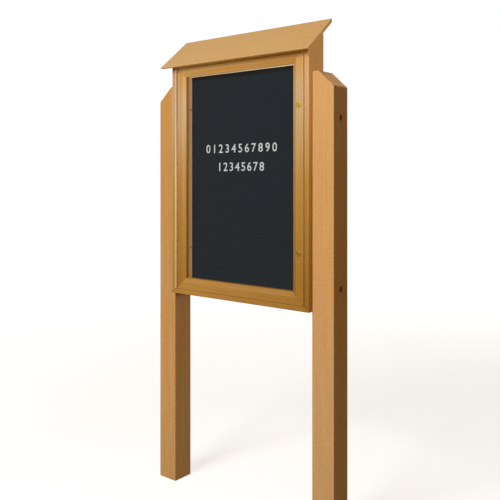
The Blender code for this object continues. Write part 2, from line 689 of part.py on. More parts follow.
def make_characters(name, line, grooves_down, space):
    """Make one line of push-in digits, each with two tabs that sit in the panel's grooves.

    A thin tongue down in the lower groove joins the line's digits into one piece.
    """
    groove = GROOVE_COUNT - grooves_down
    glyphs = [digit_solid(digit) for digit in line]
    widths = [2 * max(vert.co.x for vert in glyph.verts) for glyph in glyphs]
    pitch = max(widths) + space
    foot = groove_height(groove) - (CHARACTER_HEIGHT - TAB_GROOVES_APART * GROOVE_PITCH) / 2
    depth = PANEL_DEPTH - GAP - CHARACTER_THICKNESS / 2
    lines_middle = (WINDOW_LEFT + WINDOW_RIGHT) / 2 - LINES_LEFT_OF_MIDDLE
    bm = bmesh.new()
    tabs = bmesh.new()
    half = (len(line) - 1) / 2 * pitch
    for index, glyph in enumerate(glyphs):
        centre = lines_middle - half + index * pitch
        low_x = [vert.co.x for vert in glyph.verts if vert.co.z < TAB_EDGE_BAND]
        high_x = [vert.co.x for vert in glyph.verts if vert.co.z > CHARACTER_HEIGHT - TAB_EDGE_BAND]
        bmesh.ops.translate(glyph, verts=glyph.verts, vec=world(centre, depth, foot))
        holder = bpy.data.meshes.new("digit")
        glyph.to_mesh(holder)
        glyph.free()
        bm.from_mesh(holder)
        bpy.data.meshes.remove(holder)
        for places, number in ((low_x, groove), (high_x, groove + TAB_GROOVES_APART)):
            middle = centre + (min(places) + max(places)) / 2
            height = groove_height(number)
            add_block(tabs, (middle - TAB_LENGTH / 2, middle + TAB_LENGTH / 2),
                      (PANEL_DEPTH - GAP * 2, PANEL_DEPTH + TAB_REACH),
                      (height - TAB_HEIGHT / 2, height + TAB_HEIGHT / 2))
    made = finish(bm, name, "character_white")
    cut_with(made, as_guide(finish(tabs, name + "_tabs", "character_white")), "UNION")
    tongue = bmesh.new()
    height = groove_height(groove)
    add_block(tongue, (lines_middle - half, lines_middle + half),
              (PANEL_DEPTH + GAP, PANEL_DEPTH + TAB_REACH - GAP),
              (height - TONGUE_HEIGHT / 2, height + TONGUE_HEIGHT / 2))
    cut_with(made, as_guide(finish(tongue, name + "_tongue", "character_white")), "UNION")


def make_hinge_leaf(name, side, first_knuckle):
    """Make one hinge leaf: a long plate whose front edge curls into every other knuckle."""
    pitch = (HINGE_TOP - HINGE_BOTTOM) / HINGE_KNUCKLES
    far = HINGE_X + side * (HINGE_GAP / 2 - GAP)
    near = far - side * HINGE_LEAF
    knuckles = []
    for number in range(first_knuckle, HINGE_KNUCKLES, 2):
        low = HINGE_BOTTOM + number * pitch
        knuckles.append((low, low + pitch - GAP))
    levels = sorted({HINGE_BOTTOM, HINGE_TOP, *[end for ends in knuckles for end in ends]})
    bm = bmesh.new()
    rows = []
    for level in levels:
        rows.append([bm.verts.new(world(x, depth, level)) for x, depth in
                     ((near, HINGE_LEAF_FRONT), (far, HINGE_LEAF_FRONT),
                      (far, HINGE_LEAF_DEPTH), (near, HINGE_LEAF_DEPTH))])
    bm.faces.new(rows[0])
    bm.faces.new(rows[-1])
    curled = {low for low, high in knuckles}
    for lower, upper, level in zip(rows, rows[1:], levels):
        for step in range(4):
            after = (step + 1) % 4
            if step == 0 and level in curled:
                continue
            bm.faces.new((lower[step], lower[after], upper[after], upper[step]))
        if level in curled:
            add_knuckle(bm, lower, upper, side)
    return finish(bm, name, "hinge_metal", smooth=True, pivot=hinge_pivot())


def add_knuckle(bm, lower, upper, side):
    """Curl a stretch of the leaf's front edge into a tube round the hinge's pin."""
    segments = SMALL_SEGMENTS
    tube = []
    for row in (lower, upper):
        height = row[0].co.z - BOTTOM_Z
        for radius in (HINGE_KNUCKLE_RADIUS, HINGE_BORE_RADIUS):
            ring = []
            for step in range(segments):
                angle = HINGE_CURL + math.tau * (step - 0.5) / segments
                x = HINGE_X - side * radius * math.cos(angle)
                depth = HINGE_DEPTH + radius * math.sin(angle)
                ring.append(bm.verts.new(world(x, depth, height)))
            tube.append(ring)
    low_out, low_in, high_out, high_in = tube
    for step in range(segments):
        after = (step + 1) % segments
        bm.faces.new((low_in[step], low_in[after], high_in[after], high_in[step]))
        bm.faces.new((low_out[step], low_out[after], low_in[after], low_in[step]))
        bm.faces.new((high_out[step], high_out[after], high_in[after], high_in[step]))
        if step:
            bm.faces.new((low_out[step], low_out[after], high_out[after], high_out[step]))
    near_low, far_low = lower[0], lower[1]
    near_high, far_high = upper[0], upper[1]
    bm.faces.new((low_out[0], low_out[1], far_low, near_low))
    bm.faces.new((high_out[0], high_out[1], far_high, near_high))
    bm.faces.new((low_out[0], high_out[0], near_high, near_low))
    bm.faces.new((low_out[1], high_out[1], far_high, far_low))


def hinge_pivot():
    """Give a point on the hinge's axis, level with the cabinet's bottom."""
    return world(HINGE_X, HINGE_DEPTH, 0.0)


def make_hinge():
    """Make the long hinge: its two leaves and the pin."""
    make_hinge_leaf("hinge_frame_leaf", -1, 0)
    make_hinge_leaf("hinge_door_leaf", 1, 1)
    bm = bmesh.new()
    length = HINGE_TOP - HINGE_BOTTOM
    add_turned(bm, [(HINGE_PIN_RADIUS, 0.0), (HINGE_PIN_RADIUS, length)],
               world(HINGE_X, HINGE_DEPTH, HINGE_BOTTOM), (0, 0, 1), SMALL_SEGMENTS)
    finish(bm, "hinge_pin", "zinc_steel", smooth=True)


def make_lock(name, height, stile):
    """Make one cam lock: barrel, plug with its key slot, cam and cam screw."""
    axis = Vector((0, 1, 0))
    face = world(LOCK_X, 0.0, height)
    back = LOCK_END
    bore = LOCK_PLUG_RADIUS + GAP
    head = -GAP - LOCK_HEAD_THICKNESS
    rim = LOCK_HEAD_RADIUS
    barrel = [(rim - LOCK_HEAD_EASING, head), (rim, head + LOCK_HEAD_EASING), (rim, -GAP),
              (LOCK_BARREL_RADIUS, -GAP), (LOCK_BARREL_RADIUS, back), (bore, back), (bore, head)]
    bm = bmesh.new()
    add_turned(bm, barrel, face, axis, FINE_SEGMENTS, closed=True)
    finish(bm, f"{name}_lock_barrel", "lock_brass", smooth=True)

    hole = bmesh.new()
    radius = LOCK_BARREL_RADIUS + GAP
    through = [(radius, -CUT_MARGIN), (radius, DOOR_THICKNESS + CUT_MARGIN)]
    add_turned(hole, through, face, axis, FINE_SEGMENTS)
    cut_with(stile, as_guide(finish(hole, f"{name}_lock_hole", "lock_brass")))

    bm = bmesh.new()
    front = head - LOCK_PLUG_PROUD
    tapped = CAM_SCREW_RADIUS + GAP
    plug = [(LOCK_PLUG_RADIUS, front), (LOCK_PLUG_RADIUS, back), (tapped, back),
            (tapped, back - CAM_SCREW_LENGTH)]
    add_turned(bm, plug, face, axis, FINE_SEGMENTS)
    plug_piece = finish(bm, f"{name}_lock_plug", "lock_brass", smooth=True, pivot=face)
    slot = bmesh.new()
    add_block(slot, (LOCK_X - KEY_SLOT_WIDTH / 2, LOCK_X + KEY_SLOT_WIDTH / 2),
              (front - CUT_MARGIN, front + KEY_SLOT_DEPTH),
              (height - KEY_SLOT_LENGTH / 2, height + KEY_SLOT_LENGTH / 2))
    cut_with(plug_piece, as_guide(finish(slot, f"{name}_key_slot", "lock_brass")))

    outline = []
    tip = -(CAM_REACH - CAM_TIP_RADIUS)
    for step in range(CAM_END_STEPS + 1):
        angle = math.pi * step / CAM_END_STEPS
        outline.append((LOCK_X + CAM_HUB_RADIUS * math.cos(angle),
                        height + CAM_HUB_RADIUS * math.sin(angle)))
    for step in range(CAM_END_STEPS + 1):
        angle = math.pi * (1 + step / CAM_END_STEPS)
        outline.append((LOCK_X + CAM_TIP_RADIUS * math.cos(angle),
                        height + tip + CAM_TIP_RADIUS * math.sin(angle)))
    bm = bmesh.new()
    add_bar(bm, outline, "Y", CAM_DEPTH, CAM_DEPTH + CAM_THICKNESS)
    cam = finish(bm, f"{name}_lock_cam", "zinc_steel", pivot=face)
    rear = world(LOCK_X, CAM_DEPTH + CAM_THICKNESS, height)
    put_screws([(f"{name}_cam_screw", rear, -axis)], [cam], CAM_SCREW_HEAD, CAM_SCREW_RADIUS,
               CAM_SCREW_LENGTH, CAM_SCREW_HEAD_HEIGHT)


def make_lock_nuts():
    """Make the flat hexagon nuts that hold the lock barrels in the stile."""
    bore = LOCK_BARREL_RADIUS + GAP
    low = DOOR_THICKNESS + GAP
    high = low + NUT_THICKNESS
    section = [(NUT_HALF_WIDTH, low), (NUT_HALF_WIDTH, high), (bore, high), (bore, low)]
    for name, height in zip(LOCK_NAMES, LOCK_HEIGHTS):
        bm = bmesh.new()
        add_turned(bm, section, world(LOCK_X, 0.0, height), (0, 1, 0), FINE_SEGMENTS,
                   closed=True, hexagon=(0, 1))
        finish(bm, f"{name}_lock_nut", "zinc_steel")


def make_strikes():
    """Make the angle plates that the cams turn behind."""
    wall = INNER_HALF - GAP
    near, inside = STRIKE_FRONT, STRIKE_FRONT + STRIKE_THICKNESS
    leg = [(wall, near), (wall, STRIKE_BACK), (wall - STRIKE_THICKNESS, STRIKE_BACK),
           (wall - STRIKE_THICKNESS, inside), (wall - STRIKE_LEG, inside),
           (wall - STRIKE_LEG, near)]
    for name, height in zip(LOCK_NAMES, LOCK_HEIGHTS):
        make_bar(f"{name}_strike", "zinc_steel", leg, "Z", height - STRIKE_HALF_HEIGHT,
                 height + STRIKE_HALF_HEIGHT)


def make_bolts():
    """Make the bolts that tie the posts to the cabinet, with their washers and nuts."""
    bore = BOLT_RADIUS + GAP
    seat = HALF_WIDTH + POST_SIZE - COUNTERBORE_DEPTH
    inside = seat - INNER_HALF + GAP
    nut_low = inside + WASHER_THICKNESS + GAP
    nut_high = nut_low + BOLT_NUT_HEIGHT
    bolt = [(BOLT_HEAD_HALF_WIDTH, -GAP - BOLT_HEAD_HEIGHT), (BOLT_HEAD_HALF_WIDTH, -GAP),
            (BOLT_RADIUS, -GAP), (BOLT_RADIUS, nut_high + BOLT_END)]
    washer = [(WASHER_RADIUS, inside), (WASHER_RADIUS, inside + WASHER_THICKNESS),
              (bore, inside + WASHER_THICKNESS), (bore, inside)]
    nut = [(BOLT_HEAD_HALF_WIDTH, nut_low), (BOLT_HEAD_HALF_WIDTH, nut_high), (bore, nut_high),
           (bore, nut_low)]
    hexagon = (0, 1)
    for level, height in zip(LOCK_NAMES, BOLT_HEIGHTS):
        for hand, side in (("left", -1), ("right", 1)):
            start = world(side * seat, BOLT_DEPTH, height)
            for name, section, closed, flats in (("bolt", bolt, False, hexagon),
                                                 ("washer", washer, True, ()),
                                                 ("nut", nut, True, hexagon)):
                bm = bmesh.new()
                add_turned(bm, section, start, (-side, 0, 0), SMALL_SEGMENTS, closed, flats)
                finish(bm, f"{hand}_{level}_{name}", "zinc_steel")


def main():
    """Make every piece of the letter board."""
    clear_scene()
    bores = make_posts()
    left_side = make_cabinet(bores)
    make_roof()
    make_roof_blocks()
    make_jambs(left_side)
    make_letter_panel()
    make_characters("upper_line_characters", UPPER_LINE, UPPER_LINE_GROOVES_DOWN, UPPER_LINE_SPACE)
    make_characters("lower_line_characters", LOWER_LINE, LOWER_LINE_GROOVES_DOWN, LOWER_LINE_SPACE)
    right_stile = make_door_frame()
    make_window()
    make_hinge()
    for name, height in zip(LOCK_NAMES, LOCK_HEIGHTS):
        make_lock(name, height, right_stile)
    make_lock_nuts()
    make_strikes()
    make_bolts()


main()
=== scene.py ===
"""Looks for the outdoor letter board: finishes, finer shapes, small fasteners, light and camera.

Metres, +Z up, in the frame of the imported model. X runs across the cabinet and -Y is its front.
"""
import json
import math

import bmesh
import bpy
from mathutils import Matrix, Vector


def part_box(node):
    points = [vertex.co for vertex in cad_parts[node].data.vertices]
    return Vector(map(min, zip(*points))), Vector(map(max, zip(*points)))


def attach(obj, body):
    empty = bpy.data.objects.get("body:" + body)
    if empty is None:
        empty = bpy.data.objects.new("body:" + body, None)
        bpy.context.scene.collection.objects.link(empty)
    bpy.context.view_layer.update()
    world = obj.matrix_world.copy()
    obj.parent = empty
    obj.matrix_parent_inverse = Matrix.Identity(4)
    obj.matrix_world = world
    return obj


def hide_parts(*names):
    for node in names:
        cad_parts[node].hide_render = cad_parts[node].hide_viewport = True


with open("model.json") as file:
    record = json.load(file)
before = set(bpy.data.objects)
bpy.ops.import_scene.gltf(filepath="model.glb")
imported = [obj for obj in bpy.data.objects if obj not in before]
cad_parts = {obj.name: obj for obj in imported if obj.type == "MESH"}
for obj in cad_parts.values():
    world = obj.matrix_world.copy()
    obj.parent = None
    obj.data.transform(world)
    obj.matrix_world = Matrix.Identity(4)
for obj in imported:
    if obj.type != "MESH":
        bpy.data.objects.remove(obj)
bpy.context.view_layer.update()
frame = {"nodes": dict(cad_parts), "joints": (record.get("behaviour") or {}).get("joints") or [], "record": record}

NODES = frame["nodes"]
BODY_OF = {node: body for body, nodes in frame["record"]["behaviour"]["bodies"].items()
           for node in nodes}
JOINTS = {joint["name"]: joint for joint in frame["joints"]}

# Directions
ACROSS = Vector((1, 0, 0))
BACK = Vector((0, 1, 0))
UP = Vector((0, 0, 1))

# Meshes: distances that are welded, and the angles up to which faces are one or past which an
# edge is rounded
WELD = 1e-6
DIGIT_WELD = WELD * 5
FLAT_ANGLE = math.radians(0.5)
EDGE_ANGLE = math.radians(34)
ARRIS_ANGLE = math.radians(20)

# Segments of an edge and of a turned piece, the pull of flat faces on the shading, and how far a
# cutter starts outside what it cuts
EDGE_SEGMENTS = 3
ROUND_SEGMENTS = 32
FINE_SEGMENTS = 64
FLAT_WEIGHT = 90
CUT_MARGIN = 0.001

# A face of a board that points this much along its grain is a sawn end
SAWN_SHARE = 0.3

# Rounded edges: widths
BOARD_EASING = 0.0005
DOOR_EASING = 0.0007
METAL_EASING = 0.00025
SEAL_EASING = 0.0003

# Patterns of the lumber: lengths, widths and sizes, and how they shift from board to board
STREAK_LENGTH = 0.16
STREAK_WIDTH = 0.0022
BAND_LENGTH = 0.30
BAND_WIDTH = 0.009
MOTTLE_SIZE = 0.0045
FLECK_SIZE = 0.0011
PATCH_SIZE = 0.14
PORE_SIZE = 0.0024
SAW_MARK_LENGTH = 0.125
SAW_MARK_WIDTH = 0.0030
BOARD_OFFSET = (0.37, 0.53, 0.29)
NO_OFFSET = (0.0, 0.0, 0.0)

# Patterns of the other materials: sizes, or scales along X, Y and Z
FIBRE_SIZE = 0.0007
NAP_SIZE = 0.018
LINT_SIZE = 0.0016
LINT_OFFSET = (3.1, 0.4, 1.7)
FLOW_SCALE = (120.0, 120.0, 420.0)
DUST_SIZE = 0.0012
SMEAR_SCALE = (6.0, 6.0, 14.0)
DRAWN_LENGTH = 0.03
DRAWN_WIDTH = 0.00022
SPOT_SIZE = 0.004
HANDLING_SIZE = 0.006
CELL_SIZE = 0.0007
RUBBER_DUST_SIZE = 0.01
CLOUD_SIZE = 0.9

# Bump depths
LUMBER_RELIEF = 0.00018
SAWN_RELIEF = 0.0003
FELT_RELIEF = 0.0004
PLASTIC_RELIEF = 0.00005
METAL_RELIEF = 0.00003
RUBBER_RELIEF = 0.0002

# Colours, linear. A board's, and the hinge's, are stops: a place along the grain in metres, and
# the colour there. On the door, cabinet, rails and hinge the change from stop to stop is painted
# light and shade
WHITE = (1.0, 1.0, 1.0)
PALE_TINT = (1.05, 1.12, 1.20)
WARM_TINT = (1.02, 0.76, 0.38)
LEFT_POST_TAN = ((0.1, (0.64, 0.355, 0.125)), (0.52, (0.627, 0.343, 0.116)),
                 (0.93, (0.583, 0.309, 0.095)), (1.46, (0.566, 0.285, 0.073)))
RIGHT_POST_TAN = ((0.1, (0.65, 0.375, 0.160)), (0.47, (0.653, 0.369, 0.148)),
                  (0.93, (0.645, 0.335, 0.104)), (1.5, (0.64, 0.335, 0.098)))
# Left side board's tone, deeper towards the bottom and palest high up: painted shading
LEFT_SIDE_TAN_PAINTED_SHADING = ((0.86, (0.40, 0.228, 0.042)), (1.20, (0.41, 0.245, 0.068)),
                 (1.50, (0.53, 0.345, 0.195)), (1.70, (0.55, 0.28, 0.080)))
# Cabinet tone, deeper and darker towards the bottom and palest a little below the top: painted shading
CABINET_TAN_PAINTED_SHADING = ((0.78, (0.262, 0.108, 0.003)), (1.01, (0.31, 0.141, 0.006)),
               (1.21, (0.375, 0.185, 0.014)), (1.41, (0.480, 0.265, 0.085)),
               (1.53, (0.515, 0.292, 0.130)), (1.70, (0.55, 0.28, 0.080)))
# Left stop board's pale pinkish tone: painted light, so it reads bright where the door shades it; the right stop
# board has the cabinet tone
LEFT_STOP_PAINTED_LIGHT = ((0.8, (0.92, 0.64, 0.42)), (1.6, (0.95, 0.74, 0.58)))
# A warmer, brighter tone for the left pane bead than for the right one: painted light on its shaded side
LEFT_BEAD_PAINTED_LIGHT = ((0.8, (0.86, 0.37, 0.048)), (1.6, (0.90, 0.41, 0.060)))
BACK_TAN = ((0.8, (0.50, 0.300, 0.115)), (1.6, (0.52, 0.318, 0.125)))
# Rail tones across the cabinet, paler towards the left: a painted sheen
RAIL_GOLD_PAINTED_SHEEN = ((-0.30, (0.480, 0.240, 0.042)), (0.30, (0.385, 0.178, 0.015)))
TOP_RAIL_GOLD_PAINTED_SHEEN = ((-0.30, (0.42, 0.258, 0.085)), (0.30, (0.340, 0.166, 0.024)))
ROOF_TAN = ((-0.36, (0.60, 0.372, 0.162)), (0.36, (0.570, 0.345, 0.142)))
# Pale tone of the top stop board and top bead, paler towards the right: a painted highlight line below the top
# rail
LINTEL_PAINTED_HIGHLIGHT = ((-0.27, (0.70, 0.50, 0.30)), (0.27, (0.92, 0.80, 0.66)))
INNER_TAN = ((-0.36, (0.40, 0.20, 0.025)), (0.36, (0.40, 0.20, 0.025)))
# Door tone, deeper and darker towards the bottom and paler high up: painted shading and a painted sheen. The
# darker top stop is a painted shadow under the eave
DOOR_GOLD_PAINTED_SHADING = ((0.86, (0.325, 0.143, 0.0080)), (1.01, (0.346, 0.170, 0.0140)),
             (1.21, (0.398, 0.200, 0.033)), (1.41, (0.472, 0.281, 0.110)),
             (1.53, (0.488, 0.311, 0.145)), (1.63, (0.50, 0.255, 0.055)))
FELT_BLACK = (0.0060, 0.0135, 0.0230)
CHARACTER_WHITE = (0.66, 0.71, 0.75)
# Hinge tones along its height, brightest near the middle and darker at the top: painted light and shade
HINGE_PAINTED_SHADING = ((0.80, (0.62, 0.41, 0.24)), (1.20, (0.74, 0.52, 0.32)),
               (1.62, (0.52, 0.36, 0.30)))
BRASS_COLOUR = (0.58, 0.345, 0.07)
ZINC_COLOUR = (0.50, 0.50, 0.48)
RUBBER_BLACK = (0.012, 0.012, 0.012)
FLOOR_WHITE = (0.50, 0.50, 0.50)
PANE_TINT = (0.86, 0.93, 1.0)

# The share that the pane mirrors when seen straight on, and how fast it grows at a slant
PANE_MIRROR = 0.022
GRAZE_POWER = 5.0

# Floor: half its width, and its glow at an inner and at an outer distance from the posts
FLOOR_HALF = 30.0
FLOOR_GLOW = (0.72, 0.98)
FLOOR_REACH = (1.2, 5.0)

# Camera
CAMERA_PLACE = (1.6678, -1.9873, 1.2266)
CAMERA_TURN = (math.radians(90.0), 0.0, math.radians(39.23))
SENSOR_WIDTH = 36.0
LENS_LENGTH = 49.95
LENS_SHIFT = -0.147

# Lights: place, what they face, size, power and colour
FILL_COLOUR = (1.0, 0.74, 0.42)
FILL_STRENGTH = 0.22
BOARD_MIDDLE = (0.0, 0.0, 1.2)
SOFT_SIZE = (1.2, 1.2)
KEY_PLACE = (-0.25, -4.2, 3.0)
KEY_SIZE = (2.2, 2.0)
KEY_POWER = 200.0
SIDE_PLACE = (2.6, -1.1, 1.6)
SIDE_POWER = 34.0
SIDE_COLOUR = (1.0, 0.9, 0.6)
BELOW_PLACE = (0.2, -1.6, 0.5)
BELOW_TARGET = (0.0, 0.0, 1.65)
BELOW_POWER = 20.0
BELOW_COLOUR = (1.0, 0.8, 0.5)
LINTEL_PLACE = (0.5, -1.5, 0.4)
LINTEL_TARGET = (0.0, 0.0, 1.62)
LINTEL_SIZE = (0.5, 0.5)
LINTEL_POWER = 60.0
LINTEL_COLOUR = (1.0, 0.97, 0.92)
ABOVE_PLACE = (0.0, 0.1, 4.2)
ABOVE_POWER = 35.0
ABOVE_COLOUR = (1.0, 0.9, 0.7)
BEHIND_PLACE = (0.0, 3.8, 2.2)
BEHIND_POWER = 170.0

# The pieces that each light but the key reaches
SIDE_LIT = ("left_side_board", "right_side_board", "left_stop_board", "right_stop_board",
            "door_left_stile_board", "door_right_stile_board", "left_pane_bead", "roof_lumber",
            "frame_hinge_leaf", "door_hinge_leaf")
BELOW_LIT = ("roof_lumber", "head_board", "door_top_rail_board")
LINTEL_LIT = ("top_stop_board", "top_pane_bead")
ABOVE_LIT = ("left_post_lumber", "right_post_lumber")
BEHIND_LIT = ("left_post_lumber", "right_post_lumber", "back_board", "back_screws",
              "left_side_board", "right_side_board", "roof_lumber", "bottom_board",
              "door_left_stile_board", "door_right_stile_board", "door_top_rail_board",
              "door_bottom_rail_board", "upper_lock_head", "lower_lock_head")

# Grooved panel
GROOVE_PITCH = 0.00635
GROOVE_WIDTH = 0.0016
GROOVE_DEPTH = 0.0025
LIP_RADIUS = 0.0005
LIP_STEPS = 3

# Characters: a prong is centred on what a digit has in the outermost share of its height
LINES = {"upper_line_characters": "01234567890", "lower_line_characters": "12345678"}
CHARACTER_THICKNESS = 0.002
CHARACTER_EASING = 0.0003
CHARACTER_BOLD = 0.0002
CURVE_STEPS = 6
CURVE_EASING_STEPS = 2
OUTER_SHARE = 0.03
PRONG_WIDTH = 0.0022
PRONG_HEIGHT = 0.0010

# Hinge
KNUCKLE_RADIUS = 0.0042
KNUCKLE_PITCH = 0.0127
KNUCKLE_GAP = 0.0003
KNUCKLE_EASING = 0.0003
PIN_RADIUS = 0.0016
PIN_END = 0.0012
PIN_END_SHARE = 0.7
PIN_GAP = 0.0001

# Hinge leaves: where their faces and front edge lie, seen from the axis, and the two corners of
# a knuckle's neck inside the knuckle
LEAF_NEAR = 0.0035
LEAF_FAR = 0.0045
LEAF_LEAD = 0.0038
NECK = ((0.0033, 0.0006), (0.00418, 0.0004))

# Locks
LOCK_HEAD_EASING = 0.0007
LOCK_EASING_SHARE = 0.3
LOCK_RING_WIDTH = 0.0016
LOCK_DISH = 0.0006
LOCK_BODY_SHARE = 0.82
PLUG_RADIUS = 0.0054
PLUG_GAP = 0.0002
PLUG_EASING = 0.0003
PLUG_END = 0.00001
KEYWAY_LENGTH = 0.0072
KEYWAY_WIDTH = 0.0014
KEYWAY_DEPTH = 0.0055
WARD_WIDTH = 0.0009
WARD_LENGTH = 0.0022

# A screw head of radius and height 1: its profile, and its cross recess with the cutter's top
HEAD_PROFILE = ((1.0, 0.0), (1.0, 0.25), (0.93, 0.55), (0.78, 0.80), (0.55, 0.94), (0.28, 1.0))
CROSS_LENGTH = 0.62
CROSS_WIDTH = 0.20
CROSS_DEPTH = 0.55
CROSS_TOP = 1.5

# Small screws that only the looks hold: head radius and height, and the turn from one to the next
PAN_SCREW = (0.0040, 0.0022)
FLAT_SCREW = (0.0030, 0.00018)
STOP_SCREW = (0.0024, 0.00015)
HEAD_TURN = 0.7

# Rows of small screws: how far in from the first and the last end, and how many
BACK_SIDE_ROW = (0.03, 0.05, 6)
BACK_FOOT_ROW = (0.15, 0.15, 3)
HINGE_ROW = (0.02, 0.02, 9)
BEAD_SIDE_ROW = (0.04, 0.04, 5)
BEAD_END_ROW = (0.06, 0.06, 4)
BACK_EDGE = 0.012
BATTEN_REACH = 0.15
LEAF_SCREW_BACK = 0.003


def add_node(tree, kind, inputs=None, **settings):
    """Add a shader node; an input is a socket to link or a value to set."""
    made = tree.nodes.new(kind)
    for name, value in settings.items():
        setattr(made, name, value)
    for name, value in (inputs or {}).items():
        if isinstance(value, bpy.types.NodeSocket):
            tree.links.new(value, made.inputs[name])
        else:
            made.inputs[name].default_value = value
    return made


def new_material(name):
    """Make an empty node material and give it with its tree and its shader."""
    material = bpy.data.materials.new(name)
    material.use_nodes = True
    tree = material.node_tree
    return material, tree, tree.nodes["Principled BSDF"]


def texture_space(tree, scale, offset):
    """Give the piece's own coordinates, scaled along each axis and shifted."""
    own = add_node(tree, "ShaderNodeTexCoord").outputs["Object"]
    return add_node(tree, "ShaderNodeMapping",
                    {"Vector": own, "Scale": scale, "Location": offset}).outputs["Vector"]


def noise(tree, scale, detail, roughness, offset=NO_OFFSET, distortion=0.0):
    """Add a noise pattern with so many cells to a metre along each axis."""
    space = texture_space(tree, scale, offset)
    return add_node(tree, "ShaderNodeTexNoise",
                    {"Vector": space, "Scale": 1.0, "Detail": detail, "Roughness": roughness,
                     "Distortion": distortion}).outputs["Fac"]


def pores(tree, size, offset=NO_OFFSET):
    """Add a pattern of round pores of one size, low in the middle of each."""
    space = texture_space(tree, even(size), offset)
    return add_node(tree, "ShaderNodeTexVoronoi",
                    {"Vector": space, "Scale": 1.0, "Randomness": 1.0}).outputs["Distance"]


def remap(tree, value, low, high, to_low=0.0, to_high=1.0):
    """Stretch a value from one range to another, clamped."""
    return add_node(tree, "ShaderNodeMapRange",
                    {"Value": value, "From Min": low, "From Max": high, "To Min": to_low,
                     "To Max": to_high}).outputs["Result"]


def mix(tree, factor, first, second, blend="MIX"):
    """Mix two colours."""
    made = tree.nodes.new("ShaderNodeMix")
    made.data_type = "RGBA"
    made.blend_type = blend
    for index, value in ((0, factor), (6, first), (7, second)):
        if isinstance(value, bpy.types.NodeSocket):
            tree.links.new(value, made.inputs[index])
        elif index == 0:
            made.inputs[index].default_value = value
        else:
            made.inputs[index].default_value = (*value, 1.0)
    return made.outputs[2]


def stain(tree, tone, pattern, reach, tint):
    """Blend a tint into a tone where a pattern is strong; reach holds the four ends of remap."""
    return mix(tree, remap(tree, pattern, *reach), tone, tint)


def add_up(tree, *pairs):
    """Add values, each with its own weight."""
    total = None
    for value, weight in pairs:
        part = add_node(tree, "ShaderNodeMath", operation="MULTIPLY")
        tree.links.new(value, part.inputs[0])
        part.inputs[1].default_value = weight
        if total is None:
            total = part.outputs[0]
            continue
        summed = add_node(tree, "ShaderNodeMath", operation="ADD")
        tree.links.new(total, summed.inputs[0])
        tree.links.new(part.outputs[0], summed.inputs[1])
        total = summed.outputs[0]
    return total


def bump(tree, shader, height, distance):
    """Give the shader a bump of so many metres."""
    made = add_node(tree, "ShaderNodeBump", {"Height": height, "Distance": distance,
                                             "Strength": 1.0})
    tree.links.new(made.outputs["Normal"], shader.inputs["Normal"])


def shade(colour, factor):
    """Give a lighter or darker version of a colour."""
    return tuple(channel * factor for channel in colour)


def stretched(grain, length, width):
    """Give a scale whose cells are long along the grain and narrow across it."""
    return tuple(1 / length if abs(grain[axis]) > 0.5 else 1 / width for axis in range(3))


def even(size):
    """Give a scale whose cells have one size."""
    return (1 / size,) * 3


def tone_along(tree, stops, grain):
    """Give a base colour that changes slowly along the grain, from one stop to the next."""
    low, high = stops[0][0], stops[-1][0]
    own = add_node(tree, "ShaderNodeTexCoord").outputs["Object"]
    axis = max(range(3), key=lambda number: abs(grain[number]))
    place = add_node(tree, "ShaderNodeSeparateXYZ", {"Vector": own}).outputs[axis]
    ramp = add_node(tree, "ShaderNodeValToRGB", {"Fac": remap(tree, place, low, high)})
    elements = ramp.color_ramp.elements
    while len(elements) < len(stops):
        elements.new(0.5)
    for element, stop in zip(elements, stops):
        element.position = (stop[0] - low) / (high - low)
    for element, stop in zip(elements, stops):
        element.color = (*stop[1], 1.0)
    return ramp.outputs["Color"]


def lumber(name, stops, grain, offset, streaks):
    """Recycled plastic board: lengthwise streaks, mottling and fine flecks, over a matt skin."""
    material, tree, shader = new_material(name)
    fine = noise(tree, stretched(grain, STREAK_LENGTH, STREAK_WIDTH), 4.0, 0.6, offset)
    band = noise(tree, stretched(grain, BAND_LENGTH, BAND_WIDTH), 2.0, 0.5, offset)
    mottle = noise(tree, even(MOTTLE_SIZE), 4.0, 0.65, offset)
    fleck = noise(tree, even(FLECK_SIZE), 2.0, 0.5, offset)
    patch = noise(tree, even(PATCH_SIZE), 2.0, 0.5, offset)
    tone = WHITE
    for pattern, reach, tint in (
            (fine, (0.48, 0.72, 0.0, streaks), shade(WHITE, 0.62)),
            (band, (0.52, 0.72, 0.0, streaks), PALE_TINT),
            (band, (0.48, 0.30, 0.0, streaks), WARM_TINT),
            (mottle, (0.36, 0.50, 0.28, 0.0), shade(WHITE, 0.55)),
            (mottle, (0.52, 0.68, 0.0, 0.30), shade(WHITE, 1.28)),
            (fleck, (0.64, 0.70, 0.0, 0.45), shade(WHITE, 0.40)),
            (fleck, (0.34, 0.28, 0.0, 0.35), shade(WHITE, 1.5)),
            (patch, (0.35, 0.65, 0.0, 0.14), shade(WHITE, 0.80))):
        tone = stain(tree, tone, pattern, reach, tint)
    # Tones along the grain; on the door, cabinet, rails, stop boards and beads they are painted light and shade
    tone = mix(tree, 1.0, tone, tone_along(tree, stops, grain), "MULTIPLY")
    tree.links.new(tone, shader.inputs["Base Color"])
    rough = add_up(tree, (fine, 0.16), (mottle, 0.12), (patch, 0.06))
    tree.links.new(remap(tree, rough, 0.10, 0.24, 0.46, 0.64), shader.inputs["Roughness"])
    height = add_up(tree, (fine, streaks), (mottle, 0.6), (fleck, 0.35))
    bump(tree, shader, height, LUMBER_RELIEF)
    return material


